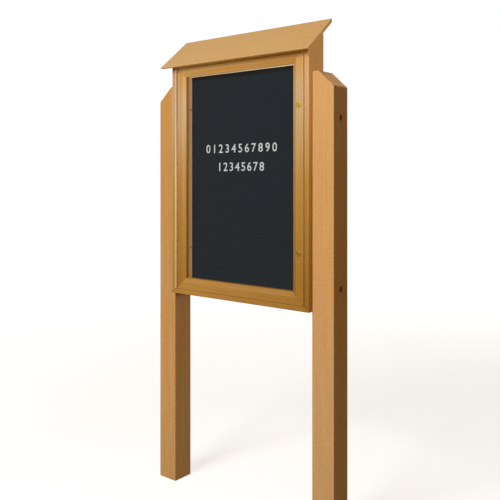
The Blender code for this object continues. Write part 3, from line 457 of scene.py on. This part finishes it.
def sawn_end(name, stops, offset):
    """The sawn end of a plastic board: saw marks and the pores of its foamed core."""
    material, tree, shader = new_material(name)
    colour = stops[-1][1]
    marks = noise(tree, stretched(ACROSS, SAW_MARK_LENGTH, SAW_MARK_WIDTH), 2.0, 0.5, offset)
    mottle = noise(tree, even(MOTTLE_SIZE), 4.0, 0.65, offset)
    hole = remap(tree, pores(tree, PORE_SIZE, offset), 0.16, 0.30, 0.7, 0.0)
    tone = stain(tree, shade(colour, 0.72), marks, (0.35, 0.65, 0.0, 0.5), shade(colour, 0.95))
    tone = stain(tree, tone, mottle, (0.40, 0.62, 0.0, 0.45), shade(colour, 1.15))
    tone = mix(tree, hole, tone, shade(colour, 0.22))
    tree.links.new(tone, shader.inputs["Base Color"])
    shader.inputs["Roughness"].default_value = 0.8
    height = add_up(tree, (hole, -1.0), (marks, 0.5), (mottle, 0.4))
    bump(tree, shader, height, SAWN_RELIEF)
    return material


def felt():
    """Black felt: short matted fibres with lint, rough and soft."""
    material, tree, shader = new_material("black_felt")
    fibre = noise(tree, even(FIBRE_SIZE), 6.0, 0.7, distortion=0.8)
    nap = noise(tree, even(NAP_SIZE), 4.0, 0.6)
    lint = noise(tree, even(LINT_SIZE), 3.0, 0.6, LINT_OFFSET)
    tone = shade(FELT_BLACK, 0.45)
    for pattern, reach, factor in ((fibre, (0.35, 0.68, 0.0, 1.0), 1.9),
                                   (nap, (0.35, 0.65, 0.0, 0.5), 1.5),
                                   (lint, (0.70, 0.76, 0.0, 0.35), 6.0)):
        tone = stain(tree, tone, pattern, reach, shade(FELT_BLACK, factor))
    tree.links.new(tone, shader.inputs["Base Color"])
    shader.inputs["Roughness"].default_value = 0.95
    shader.inputs["Specular IOR Level"].default_value = 0.2
    shader.inputs["Sheen Weight"].default_value = 0.02
    shader.inputs["Sheen Roughness"].default_value = 0.5
    bump(tree, shader, fibre, FELT_RELIEF)
    return material


def white_plastic():
    """Glossy moulded characters, with faint flow marks and handling dulness."""
    material, tree, shader = new_material("moulded_white")
    flow = noise(tree, FLOW_SCALE, 3.0, 0.5)
    dust = noise(tree, even(DUST_SIZE), 3.0, 0.6)
    tone = stain(tree, CHARACTER_WHITE, flow, (0.35, 0.7, 0.0, 0.5), shade(CHARACTER_WHITE, 0.90))
    tone = stain(tree, tone, dust, (0.62, 0.72, 0.0, 0.3), shade(CHARACTER_WHITE, 0.72))
    tree.links.new(tone, shader.inputs["Base Color"])
    tree.links.new(remap(tree, dust, 0.3, 0.7, 0.28, 0.45), shader.inputs["Roughness"])
    bump(tree, shader, flow, PLASTIC_RELIEF)
    return material


def acrylic():
    """Clear acrylic sheet: what it mirrors grows at a slant, and faint smears dull it."""
    material, tree, shader = new_material("clear_acrylic_sheet")
    shader.inputs["Base Color"].default_value = (*PANE_TINT, 1.0)
    shader.inputs["Metallic"].default_value = 1.0
    smear = noise(tree, SMEAR_SCALE, 3.0, 0.6)
    tree.links.new(remap(tree, smear, 0.4, 0.7, 0.03, 0.10), shader.inputs["Roughness"])
    slant = add_node(tree, "ShaderNodeLayerWeight", {"Blend": 0.5}).outputs["Facing"]
    graze = add_node(tree, "ShaderNodeMath", {0: slant}, operation="POWER")
    graze.inputs[1].default_value = GRAZE_POWER
    mirrored = add_up(tree, (graze.outputs[0], 0.8), (smear, 0.01))
    tree.links.new(remap(tree, mirrored, 0.0, 1.0, PANE_MIRROR, 1.0), shader.inputs["Alpha"])
    return material


def drawn_lines(tree, grain):
    """Give the fine lines that drawing leaves in metal."""
    return noise(tree, stretched(grain, DRAWN_LENGTH, DRAWN_WIDTH), 3.0, 0.6)


def satin_metal(name, colour, roughness, grain, spots):
    """Metal with fine drawing lines along its length and dull spots."""
    material, tree, shader = new_material(name)
    lines = drawn_lines(tree, grain)
    dull = noise(tree, even(SPOT_SIZE), 4.0, 0.65)
    tone = stain(tree, colour, lines, (0.3, 0.7, 0.0, 0.35), shade(colour, 0.80))
    tone = stain(tree, tone, dull, (0.50, 0.70, 0.0, spots), shade(colour, 0.45))
    tree.links.new(tone, shader.inputs["Base Color"])
    shader.inputs["Metallic"].default_value = 1.0
    rough = add_up(tree, (lines, 0.5), (dull, 0.5))
    tree.links.new(remap(tree, rough, 0.3, 0.7, roughness - 0.08, roughness + 0.14),
                   shader.inputs["Roughness"])
    bump(tree, shader, add_up(tree, (lines, 1.0), (dull, 0.5)), METAL_RELIEF)
    return material


def coated_metal():
    """Satin lacquered hinge metal: drawn lines, handling marks and a soft sheen."""
    material, tree, shader = new_material("lacquered_hinge")
    lines = drawn_lines(tree, UP)
    dull = noise(tree, even(HANDLING_SIZE), 4.0, 0.65)
    tone = stain(tree, WHITE, lines, (0.3, 0.7, 0.0, 0.35), shade(WHITE, 0.80))
    tone = stain(tree, tone, dull, (0.48, 0.68, 0.0, 0.6), shade(WHITE, 0.72))
    # The tones along the height are painted light and shade
    tone = mix(tree, 1.0, tone, tone_along(tree, HINGE_PAINTED_SHADING, UP), "MULTIPLY")
    tree.links.new(tone, shader.inputs["Base Color"])
    shader.inputs["Metallic"].default_value = 0.25
    rough = add_up(tree, (lines, 0.5), (dull, 0.5))
    tree.links.new(remap(tree, rough, 0.3, 0.7, 0.45, 0.62), shader.inputs["Roughness"])
    bump(tree, shader, add_up(tree, (lines, 1.0), (dull, 0.5)), METAL_RELIEF)
    return material


def foam_rubber():
    """Closed-cell foam strip with a skin of fine pits."""
    material, tree, shader = new_material("foam_rubber")
    cells = pores(tree, CELL_SIZE)
    dust = noise(tree, even(RUBBER_DUST_SIZE), 3.0, 0.6)
    tone = stain(tree, shade(RUBBER_BLACK, 0.5), cells, (0.1, 0.5, 0.0, 1.0),
                 shade(RUBBER_BLACK, 1.8))
    tone = stain(tree, tone, dust, (0.5, 0.8, 0.0, 0.4), shade(RUBBER_BLACK, 5.0))
    tree.links.new(tone, shader.inputs["Base Color"])
    shader.inputs["Roughness"].default_value = 0.85
    bump(tree, shader, cells, RUBBER_RELIEF)
    return material


def pale_floor():
    """Plain matt studio floor, lit from below as a light table is, with faint shadows."""
    material, tree, shader = new_material("studio_floor")
    cloud = noise(tree, even(CLOUD_SIZE), 3.0, 0.5)
    tone = stain(tree, FLOOR_WHITE, cloud, (0.3, 0.7, 0.0, 1.0), shade(FLOOR_WHITE, 0.98))
    tree.links.new(tone, shader.inputs["Base Color"])
    shader.inputs["Roughness"].default_value = 0.9
    shader.inputs["Specular IOR Level"].default_value = 0.0
    shader.inputs["Emission Color"].default_value = (*WHITE, 1.0)
    own = add_node(tree, "ShaderNodeTexCoord").outputs["Object"]
    away = add_node(tree, "ShaderNodeVectorMath", {0: own}, operation="LENGTH").outputs["Value"]
    glow = remap(tree, away, *FLOOR_REACH, *FLOOR_GLOW)
    tree.links.new(glow, shader.inputs["Emission Strength"])
    return material


def settle(made, body, nodes=()):
    """Make a piece ride on its body and stand for CAD nodes."""
    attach(made, body)
    if nodes:
        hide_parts(*nodes)


def link_mesh(name, bm, materials, smooth=True):
    """Turn a bmesh into a linked object with its materials."""
    bmesh.ops.recalc_face_normals(bm, faces=bm.faces)
    mesh = bpy.data.meshes.new(name)
    bm.to_mesh(mesh)
    bm.free()
    for material in materials:
        mesh.materials.append(material)
    if smooth:
        mesh.shade_smooth()
        mesh.set_sharp_from_angle(angle=EDGE_ANGLE)
    made = bpy.data.objects.new(name, mesh)
    bpy.context.scene.collection.objects.link(made)
    return made


def round_edges(made, width, sharpest=EDGE_ANGLE):
    """Round a piece's sharp edges, with flat faces kept flat."""
    bevel = made.modifiers.new("rounded_edges", "BEVEL")
    bevel.width = width
    bevel.segments = EDGE_SEGMENTS
    bevel.limit_method = "ANGLE"
    bevel.angle_limit = sharpest
    made.data.shade_smooth()
    flat = made.modifiers.new("flat_faces", "WEIGHTED_NORMAL")
    flat.mode = "FACE_AREA"
    flat.weight = FLAT_WEIGHT


def welded_copy(node):
    """Give a bmesh of a CAD node with whole faces, ready for finer edges."""
    bm = bmesh.new()
    bm.from_mesh(NODES[node].data)
    bmesh.ops.remove_doubles(bm, verts=bm.verts, dist=WELD)
    bmesh.ops.dissolve_limit(bm, angle_limit=FLAT_ANGLE, verts=bm.verts, edges=bm.edges)
    return bm


def dress(node, name, material, easing):
    """Copy a CAD node's shape into a piece with rounded edges, which stands for it."""
    made = link_mesh(name, welded_copy(node), [material], smooth=False)
    round_edges(made, easing)
    settle(made, BODY_OF[node], [node])


def dress_board(node, name, stops, grain, streaks, easing, index):
    """Dress a board in lumber, with its sawn ends told apart from its faces."""
    offset = tuple(step * index for step in BOARD_OFFSET)
    faces = lumber(name + "_skin", stops, grain, offset, streaks)
    ends = sawn_end(name + "_end", stops, offset)
    bm = welded_copy(node)
    for face in bm.faces:
        if abs(face.normal.dot(grain)) > SAWN_SHARE:
            face.material_index = 1
    made = link_mesh(name, bm, [faces, ends], smooth=False)
    round_edges(made, easing, ARRIS_ANGLE if node.startswith("door_") else EDGE_ANGLE)
    settle(made, BODY_OF[node], [node])


def dress_boards():
    """Dress every board of the stand and the door.

    Each row holds a node, its piece, its tones, its grain, how strong its streaks are and how
    much its edges are eased.
    """
    boards = [
        ("left_post", "left_post_lumber", LEFT_POST_TAN, UP, 0.75, BOARD_EASING),
        ("right_post", "right_post_lumber", RIGHT_POST_TAN, UP, 0.45, BOARD_EASING),
        ("cabinet_left_side", "left_side_board", LEFT_SIDE_TAN_PAINTED_SHADING, UP, 0.35, BOARD_EASING),
        ("cabinet_right_side", "right_side_board", CABINET_TAN_PAINTED_SHADING, UP, 0.35, BOARD_EASING),
        ("cabinet_bottom", "bottom_board", RAIL_GOLD_PAINTED_SHEEN, ACROSS, 0.35, BOARD_EASING),
        ("cabinet_head", "head_board", TOP_RAIL_GOLD_PAINTED_SHEEN, ACROSS, 0.35, BOARD_EASING),
        ("cabinet_back", "back_board", BACK_TAN, UP, 0.45, BOARD_EASING),
        ("roof_board", "roof_lumber", ROOF_TAN, ACROSS, 0.22, BOARD_EASING),
        ("left_roof_block", "left_wedge", INNER_TAN, BACK, 0.30, BOARD_EASING),
        ("right_roof_block", "right_wedge", INNER_TAN, BACK, 0.30, BOARD_EASING),
        ("left_jamb", "left_stop_board", LEFT_STOP_PAINTED_LIGHT, UP, 0.35, DOOR_EASING),
        ("right_jamb", "right_stop_board", CABINET_TAN_PAINTED_SHADING, UP, 0.35, DOOR_EASING),
        ("top_jamb", "top_stop_board", LINTEL_PAINTED_HIGHLIGHT, ACROSS, 0.35, DOOR_EASING),
        ("bottom_jamb", "bottom_stop_board", RAIL_GOLD_PAINTED_SHEEN, ACROSS, 0.35, DOOR_EASING),
        ("upper_batten", "upper_batten_board", INNER_TAN, ACROSS, 0.35, BOARD_EASING),
        ("lower_batten", "lower_batten_board", INNER_TAN, ACROSS, 0.35, BOARD_EASING),
        ("door_left_stile", "door_left_stile_board", DOOR_GOLD_PAINTED_SHADING, UP, 0.62, DOOR_EASING),
        ("door_right_stile", "door_right_stile_board", DOOR_GOLD_PAINTED_SHADING, UP, 0.62, DOOR_EASING),
        ("door_top_rail", "door_top_rail_board", TOP_RAIL_GOLD_PAINTED_SHEEN, ACROSS, 0.62, DOOR_EASING),
        ("door_bottom_rail", "door_bottom_rail_board", RAIL_GOLD_PAINTED_SHEEN, ACROSS, 0.62, DOOR_EASING),
        ("pane_stop_left", "left_pane_bead", LEFT_BEAD_PAINTED_LIGHT, UP, 0.45, BOARD_EASING),
        ("pane_stop_right", "right_pane_bead", DOOR_GOLD_PAINTED_SHADING, UP, 0.45, BOARD_EASING),
        ("pane_stop_top", "top_pane_bead", LINTEL_PAINTED_HIGHLIGHT, ACROSS, 0.45, BOARD_EASING),
        ("pane_stop_bottom", "bottom_pane_bead", RAIL_GOLD_PAINTED_SHEEN, ACROSS, 0.45, BOARD_EASING),
    ]
    for index, (node, name, stops, grain, streaks, easing) in enumerate(boards):
        dress_board(node, name, stops, grain, streaks, easing, index)


def arc(centre, radius, start, stop, steps):
    """Give the points of an arc in a plane."""
    points = []
    for step in range(steps + 1):
        angle = start + (stop - start) * step / steps
        points.append((centre[0] + radius * math.cos(angle), centre[1] + radius * math.sin(angle)))
    return points


def join_rings(bm, lower, upper):
    """Join two rings of like corners with faces."""
    for step in range(len(lower)):
        after = (step + 1) % len(lower)
        bm.faces.new((lower[step], lower[after], upper[after], upper[step]))


def make_letter_panel(material):
    """Make the felt panel, with rounded lips at every groove."""
    low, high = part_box("letter_panel")
    quarter = math.pi / 2
    count = int((high.z - low.z) / GROOVE_PITCH)
    front, floor = low.y, low.y + GROOVE_DEPTH
    profile = [(high.y, low.z), (front, low.z)]
    for number in range(count):
        middle = low.z + GROOVE_PITCH * (number + 0.5)
        foot, head = middle - GROOVE_WIDTH / 2, middle + GROOVE_WIDTH / 2
        profile += arc((front + LIP_RADIUS, foot - LIP_RADIUS), LIP_RADIUS, 2 * quarter, quarter,
                       LIP_STEPS)
        profile += [(floor, foot), (floor, head)]
        profile += arc((front + LIP_RADIUS, head + LIP_RADIUS), LIP_RADIUS, 3 * quarter,
                       2 * quarter, LIP_STEPS)
    profile += [(front, high.z), (high.y, high.z)]
    bm = bmesh.new()
    rings = [[bm.verts.new((x, y, z)) for y, z in profile] for x in (low.x, high.x)]
    join_rings(bm, *rings)
    for ring in rings:
        bm.faces.new(ring)
    made = link_mesh("felt_panel", bm, [material])
    settle(made, "stand", ["letter_panel"])


def add_box(bm, low, high):
    """Add a plain block between two corners, for a small feature or a cutter."""
    corners = [bm.verts.new((x, y, z)) for z in (low[2], high[2]) for y in (low[1], high[1])
               for x in (low[0], high[0])]
    for loop in ((0, 1, 3, 2), (4, 6, 7, 5), (0, 4, 5, 1), (2, 3, 7, 6), (0, 2, 6, 4),
                 (1, 5, 7, 3)):
        bm.faces.new([corners[index] for index in loop])


def add_prism(bm, outline, along):
    """Add a prism between an outline and the same outline moved along."""
    rings = [[bm.verts.new(point + shift) for point in outline] for shift in (Vector(), along)]
    for ring in rings:
        bm.faces.new(ring)
    join_rings(bm, *rings)


def digit_mesh(digit, height):
    """Give one digit's mesh of a given height in the XZ plane, foot at zero and centred."""
    curve = bpy.data.curves.new("digit", "FONT")
    curve.body = digit
    text = bpy.data.objects.new("digit", curve)
    bpy.context.scene.collection.objects.link(text)
    bpy.context.view_layer.update()
    curve.size = height / text.dimensions.y
    curve.resolution_u = CURVE_STEPS
    curve.offset = CHARACTER_BOLD - CHARACTER_EASING
    curve.extrude = CHARACTER_THICKNESS / 2 - CHARACTER_EASING
    curve.bevel_depth = CHARACTER_EASING
    curve.bevel_resolution = CURVE_EASING_STEPS
    mesh = bpy.data.meshes.new_from_object(text)
    bpy.data.objects.remove(text)
    bm = bmesh.new()
    bm.from_mesh(mesh)
    bpy.data.meshes.remove(mesh)
    bmesh.ops.remove_doubles(bm, verts=bm.verts, dist=DIGIT_WELD)
    bmesh.ops.rotate(bm, verts=bm.verts, matrix=Matrix.Rotation(math.pi / 2, 3, "X"))
    xs = [vert.co.x for vert in bm.verts]
    zs = [vert.co.z for vert in bm.verts]
    bmesh.ops.translate(bm, verts=bm.verts, vec=(-(min(xs) + max(xs)) / 2, 0.0, -min(zs)))
    return bm


def make_characters(material):
    """Make the push-in digits one by one, each with its two prongs."""
    for node, line in LINES.items():
        low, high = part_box(node)
        height = high.z - low.z
        glyphs = [digit_mesh(digit, height) for digit in line]
        widths = [2 * max(vert.co.x for vert in glyph.verts) for glyph in glyphs]
        first, last = low.x + widths[0] / 2, high.x - widths[-1] / 2
        pitch = (last - first) / (len(line) - 1)
        half = CHARACTER_THICKNESS / 2
        for index, glyph in enumerate(glyphs):
            top = [vert.co.x for vert in glyph.verts if vert.co.z > height * (1 - OUTER_SHARE)]
            foot = [vert.co.x for vert in glyph.verts if vert.co.z < height * OUTER_SHARE]
            for xs, z in ((top, height - 2 * PRONG_HEIGHT), (foot, 2 * PRONG_HEIGHT)):
                middle = (min(xs) + max(xs)) / 2
                add_box(glyph, (middle - PRONG_WIDTH / 2, half - CHARACTER_EASING,
                                z - PRONG_HEIGHT / 2),
                        (middle + PRONG_WIDTH / 2, half + CHARACTER_EASING, z + PRONG_HEIGHT / 2))
            where = Vector((first + pitch * index, low.y + half, low.z))
            bmesh.ops.translate(glyph, verts=glyph.verts, vec=where)
            made = link_mesh(f"{node[:5]}_digit_{index + 1}", glyph, [material])
            settle(made, "stand", [node])


def frame_along(direction):
    """Give a turn whose Z axis points along a direction."""
    return Vector(direction).to_track_quat("Z", "Y").to_matrix().to_4x4()


def add_turned(bm, profile, origin, direction, segments, closed=False):
    """Turn a profile of (radius, distance) pairs; a closed profile leaves a bore."""
    place = Matrix.Translation(origin) @ frame_along(direction)
    rings = []
    for radius, distance in profile:
        ring = []
        for step in range(segments):
            angle = math.tau * step / segments
            spot = Vector((radius * math.cos(angle), radius * math.sin(angle), distance))
            ring.append(bm.verts.new(place @ spot))
        rings.append(ring)
    pairs = list(zip(rings, rings[1:]))
    if closed:
        pairs.append((rings[-1], rings[0]))
    else:
        bm.faces.new(rings[0])
        bm.faces.new(rings[-1])
    for lower, upper in pairs:
        join_rings(bm, lower, upper)


def carve(made, cutter):
    """Cut one shape out of another, keep the result as plain mesh and remove the cutter."""
    cut = made.modifiers.new("cut", "BOOLEAN")
    cut.operation = "DIFFERENCE"
    cut.solver = "EXACT"
    cut.object = cutter
    bpy.context.view_layer.update()
    shaped = made.evaluated_get(bpy.context.evaluated_depsgraph_get())
    mesh = bpy.data.meshes.new_from_object(shaped)
    made.modifiers.clear()
    made.data = mesh
    bpy.data.objects.remove(cutter)


def make_hinge(material, steel):
    """Make the long hinge with close-set knuckles; odd ones belong to the door's leaf."""
    low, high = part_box("hinge_frame_leaf")
    axis = Vector(JOINTS["door_hinge"]["pos_m"])
    start = Vector((axis.x, axis.y, low.z))
    length = high.z - low.z
    count = int(length / KNUCKLE_PITCH)
    pitch = length / count
    bore = PIN_RADIUS + PIN_GAP
    for node, name, side, first in (("hinge_frame_leaf", "frame_hinge_leaf", -1, 0),
                                    ("hinge_door_leaf", "door_hinge_leaf", 1, 1)):
        bm = bmesh.new()
        edges = sorted((axis.x + side * LEAF_NEAR, axis.x + side * LEAF_FAR))
        add_box(bm, (edges[0], axis.y + LEAF_LEAD, low.z), (edges[1], high.y, high.z))
        neck = [Vector((axis.x + side * x, axis.y + y, low.z)) for x, y in
                (*NECK, (LEAF_FAR, LEAF_LEAD), (LEAF_NEAR, LEAF_LEAD))]
        for number in range(first, count, 2):
            foot, head = number * pitch, (number + 1) * pitch - KNUCKLE_GAP
            add_prism(bm, [point + UP * foot for point in neck], UP * (head - foot))
            ring = [(bore, foot), (KNUCKLE_RADIUS - KNUCKLE_EASING, foot),
                    (KNUCKLE_RADIUS, foot + KNUCKLE_EASING),
                    (KNUCKLE_RADIUS, head - KNUCKLE_EASING),
                    (KNUCKLE_RADIUS - KNUCKLE_EASING, head), (bore, head)]
            add_turned(bm, ring, start, UP, ROUND_SEGMENTS, closed=True)
        settle(link_mesh(name, bm, [material]), BODY_OF[node], [node])
    end_radius = PIN_RADIUS * PIN_END_SHARE
    profile = [(end_radius, 0.0), (PIN_RADIUS, PIN_END / 2), (PIN_RADIUS, length - PIN_END / 2),
               (end_radius, length)]
    bm = bmesh.new()
    add_turned(bm, profile, start, UP, ROUND_SEGMENTS)
    settle(link_mesh("hinge_rod", bm, [steel]), "stand", ["hinge_pin"])


def make_lock(level, brass):
    """Make one lock's dished head and its plug with a warded keyway."""
    barrel, plug = f"{level}_lock_barrel", f"{level}_lock_plug"
    low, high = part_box(barrel)
    plug_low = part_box(plug)[0]
    centre = Vector(JOINTS[f"{level}_lock_turn"]["pos_m"])
    start = Vector((centre.x, 0.0, centre.z))
    rim = (high.x - low.x) / 2
    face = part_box("door_right_stile")[0].y
    body_radius = rim * LOCK_BODY_SHARE
    bore = PLUG_RADIUS + PLUG_GAP
    eased = LOCK_HEAD_EASING * LOCK_EASING_SHARE
    profile = [(bore, low.y + LOCK_DISH), (rim - LOCK_RING_WIDTH - LOCK_DISH, low.y + LOCK_DISH),
               (rim - LOCK_RING_WIDTH, low.y), (rim - LOCK_HEAD_EASING, low.y),
               (rim - eased, low.y + eased), (rim, low.y + LOCK_HEAD_EASING), (rim, face),
               (body_radius, face), (body_radius, high.y), (bore, high.y)]
    bm = bmesh.new()
    add_turned(bm, profile, start, BACK, FINE_SEGMENTS, closed=True)
    settle(link_mesh(f"{level}_lock_head", bm, [brass]), "door", [barrel])

    front = plug_low.y
    bm = bmesh.new()
    core = [(PLUG_RADIUS - PLUG_EASING, front), (PLUG_RADIUS, front + PLUG_EASING),
            (PLUG_RADIUS, high.y), (PLUG_RADIUS - PLUG_EASING, high.y + PLUG_END)]
    add_turned(bm, core, start, BACK, FINE_SEGMENTS)
    turned = link_mesh(f"{level}_lock_core", bm, [brass], smooth=False)
    slot = bmesh.new()
    add_box(slot, (centre.x - KEYWAY_WIDTH / 2, front - CUT_MARGIN,
                   centre.z - KEYWAY_LENGTH / 2),
            (centre.x + KEYWAY_WIDTH / 2, front + KEYWAY_DEPTH, centre.z + KEYWAY_LENGTH / 2))
    carve(turned, link_mesh("keyway", slot, [brass], smooth=False))
    ward = bmesh.new()
    add_box(ward, (centre.x - KEYWAY_WIDTH / 2 - WARD_WIDTH, front - CUT_MARGIN,
                   centre.z - WARD_LENGTH),
            (centre.x, front + KEYWAY_DEPTH, centre.z))
    carve(turned, link_mesh("ward", ward, [brass], smooth=False))
    turned.data.shade_smooth()
    turned.data.set_sharp_from_angle(angle=EDGE_ANGLE)
    settle(turned, f"{level}_lock", [plug])


def screw_template():
    """Give the mesh of a screw head of unit radius and height, with a cross recess."""
    bm = bmesh.new()
    add_turned(bm, HEAD_PROFILE, Vector(), UP, ROUND_SEGMENTS)
    head = link_mesh("screw_head", bm, [], smooth=False)
    for length, width in ((CROSS_LENGTH, CROSS_WIDTH), (CROSS_WIDTH, CROSS_LENGTH)):
        slot = bmesh.new()
        add_box(slot, (-length / 2, -width / 2, 1.0 - CROSS_DEPTH),
                (length / 2, width / 2, CROSS_TOP))
        carve(head, link_mesh("recess", slot, [], smooth=False))
    mesh = head.data
    bpy.data.objects.remove(head)
    return mesh


def add_screws(name, body, material, template, size, spots):
    """Make one piece of like screw heads, each on a point and facing a direction."""
    radius, height = size
    bm = bmesh.new()
    for index, (point, direction) in enumerate(spots):
        turn = Matrix.Rotation(HEAD_TURN * index, 4, "Z")
        scale = Matrix.Diagonal((radius, radius, height, 1.0))
        place = Matrix.Translation(point) @ frame_along(direction) @ turn @ scale
        head = bmesh.new()
        head.from_mesh(template)
        bmesh.ops.transform(head, matrix=place, verts=head.verts)
        holder = bpy.data.meshes.new("head")
        head.to_mesh(holder)
        head.free()
        bm.from_mesh(holder)
        bpy.data.meshes.remove(holder)
    settle(link_mesh(name, bm, [material]), body)


def spread(low, high, low_inset, high_inset, count):
    """Give evenly spaced places between two ends, the outermost set in from them."""
    first, last = low + low_inset, high - high_inset
    return [first + (last - first) * step / (count - 1) for step in range(count)]


def make_small_screws(steel):
    """Make the screws of the back panel, the hinge, the pane beads and the left stop board."""
    template = screw_template()
    low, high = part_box("cabinet_back")
    spots = [(Vector((x, high.y, z)), BACK) for x in (low.x + BACK_EDGE, high.x - BACK_EDGE)
             for z in spread(low.z, high.z, *BACK_SIDE_ROW)]
    spots += [(Vector((x, high.y, low.z + BACK_EDGE)), BACK)
              for x in spread(low.x, high.x, *BACK_FOOT_ROW)]
    for batten in ("lower_batten", "upper_batten"):
        foot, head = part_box(batten)
        spots += [(Vector((x, high.y, (foot.z + head.z) / 2)), BACK)
                  for x in (-BATTEN_REACH, BATTEN_REACH)]
    add_screws("back_screws", "stand", steel, template, PAN_SCREW, spots)

    low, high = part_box("hinge_frame_leaf")
    axis = Vector(JOINTS["door_hinge"]["pos_m"])
    heights = spread(low.z, high.z, *HINGE_ROW)
    middle = (axis.y + high.y) / 2 + LEAF_SCREW_BACK
    for name, body, face, facing in (
            ("hinge_frame_screws", "stand", axis.x - LEAF_NEAR, ACROSS),
            ("hinge_door_screws", "door", axis.x + LEAF_NEAR, -ACROSS)):
        add_screws(name, body, steel, template, FLAT_SCREW,
                   [(Vector((face, middle, z)), facing) for z in heights])

    spots = []
    for side in ("left", "right"):
        low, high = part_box(f"pane_stop_{side}")
        spots += [(Vector(((low.x + high.x) / 2, high.y, z)), BACK)
                  for z in spread(low.z, high.z, *BEAD_SIDE_ROW)]
    for end in ("top", "bottom"):
        low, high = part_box(f"pane_stop_{end}")
        spots += [(Vector((x, high.y, (low.z + high.z) / 2)), BACK)
                  for x in spread(low.x, high.x, *BEAD_END_ROW)]
    add_screws("pane_bead_screws", "door", steel, template, STOP_SCREW, spots)

    for level in ("upper", "lower"):
        node = f"{level}_jamb_screw"
        low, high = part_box(node)
        point = Vector((high.x - PAN_SCREW[1], (low.y + high.y) / 2, (low.z + high.z) / 2))
        add_screws(f"{level}_stop_screw", "stand", steel, template, PAN_SCREW, [(point, ACROSS)])
        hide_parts(node)
    bpy.data.meshes.remove(template)


def make_floor():
    """Lay the pale floor that the posts stand on."""
    bm = bmesh.new()
    signs = ((-1, -1), (1, -1), (1, 1), (-1, 1))
    bm.faces.new([bm.verts.new((x * FLOOR_HALF, y * FLOOR_HALF, 0.0)) for x, y in signs])
    floor = link_mesh("floor", bm, [pale_floor()], smooth=False)
    floor.visible_diffuse = False
    floor.visible_glossy = False


def add_area_light(name, place, target, size, power, colour, lit):
    """Hang one soft light that faces a point and reaches the named pieces, or else all."""
    lamp = bpy.data.lights.new(name, "AREA")
    lamp.shape = "RECTANGLE"
    lamp.size, lamp.size_y = size
    lamp.energy = power
    lamp.color = colour
    made = bpy.data.objects.new(name, lamp)
    bpy.context.scene.collection.objects.link(made)
    made.location = place
    made.rotation_euler = (Vector(target) - Vector(place)).to_track_quat("-Z", "Y").to_euler()
    if lit:
        chosen = bpy.data.collections.new(name + "_lit")
        for piece in lit:
            chosen.objects.link(bpy.data.objects[piece])
        made.light_linking.receiver_collection = chosen


def light_scene():
    """Light the stage: a dim warm surround, a soft key, and lights that reach some pieces each.

    The camera sees the surround as plain white.
    """
    world = bpy.data.worlds.new("studio")
    bpy.context.scene.world = world
    world.use_nodes = True
    tree = world.node_tree
    shown = add_node(tree, "ShaderNodeBackground", {"Color": (*WHITE, 1.0), "Strength": 1.0})
    fill = tree.nodes["Background"]
    fill.inputs["Color"].default_value = (*FILL_COLOUR, 1.0)
    fill.inputs["Strength"].default_value = FILL_STRENGTH
    seen = add_node(tree, "ShaderNodeLightPath").outputs["Is Camera Ray"]
    blend = tree.nodes.new("ShaderNodeMixShader")
    tree.links.new(seen, blend.inputs[0])
    tree.links.new(fill.outputs[0], blend.inputs[1])
    tree.links.new(shown.outputs[0], blend.inputs[2])
    tree.links.new(blend.outputs[0], tree.nodes["World Output"].inputs["Surface"])
    for name, place, target, size, power, colour, lit in (
            ("key", KEY_PLACE, BOARD_MIDDLE, KEY_SIZE, KEY_POWER, WHITE, ()),
            ("side", SIDE_PLACE, BOARD_MIDDLE, SOFT_SIZE, SIDE_POWER, SIDE_COLOUR, SIDE_LIT),
            ("below", BELOW_PLACE, BELOW_TARGET, SOFT_SIZE, BELOW_POWER, BELOW_COLOUR, BELOW_LIT),
            ("lintel", LINTEL_PLACE, LINTEL_TARGET, LINTEL_SIZE, LINTEL_POWER, LINTEL_COLOUR,
             LINTEL_LIT),
            ("above", ABOVE_PLACE, BOARD_MIDDLE, SOFT_SIZE, ABOVE_POWER, ABOVE_COLOUR, ABOVE_LIT),
            ("behind", BEHIND_PLACE, BOARD_MIDDLE, SOFT_SIZE, BEHIND_POWER, WHITE, BEHIND_LIT)):
        add_area_light(name, place, target, size, power, colour, lit)


def place_camera():
    """Set the camera where the photo was taken from."""
    lens = bpy.data.cameras.new("camera")
    lens.sensor_width = SENSOR_WIDTH
    lens.lens = LENS_LENGTH
    lens.shift_y = LENS_SHIFT
    made = bpy.data.objects.new("camera", lens)
    made.location = CAMERA_PLACE
    made.rotation_euler = CAMERA_TURN
    bpy.context.scene.collection.objects.link(made)
    bpy.context.scene.camera = made
    bpy.context.scene.view_settings.view_transform = "Standard"


def main():
    """Dress the letter board and set the stage."""
    steel = satin_metal("zinc_plate", ZINC_COLOUR, roughness=0.40, grain=BACK, spots=0.45)
    brass = satin_metal("satin_brass", BRASS_COLOUR, roughness=0.42, grain=UP, spots=0.30)
    rubber = foam_rubber()
    dress_boards()
    make_letter_panel(felt())
    make_characters(white_plastic())
    make_hinge(coated_metal(), steel)
    dress("door_seal", "foam_seal", rubber, SEAL_EASING)
    pane = NODES["window_pane"]
    pane.data.materials.clear()
    pane.data.materials.append(acrylic())
    for level in ("upper", "lower"):
        make_lock(level, brass)
        for kind in ("lock_nut", "lock_cam", "cam_screw", "strike"):
            node = f"{level}_{kind}"
            dress(node, node + "_zinc", steel, METAL_EASING)
        for hand in ("left", "right"):
            for kind in ("bolt", "washer", "nut"):
                node = f"{hand}_{level}_{kind}"
                dress(node, node + "_zinc", steel, METAL_EASING)
    make_small_screws(steel)
    make_floor()
    light_scene()
    place_camera()


main()
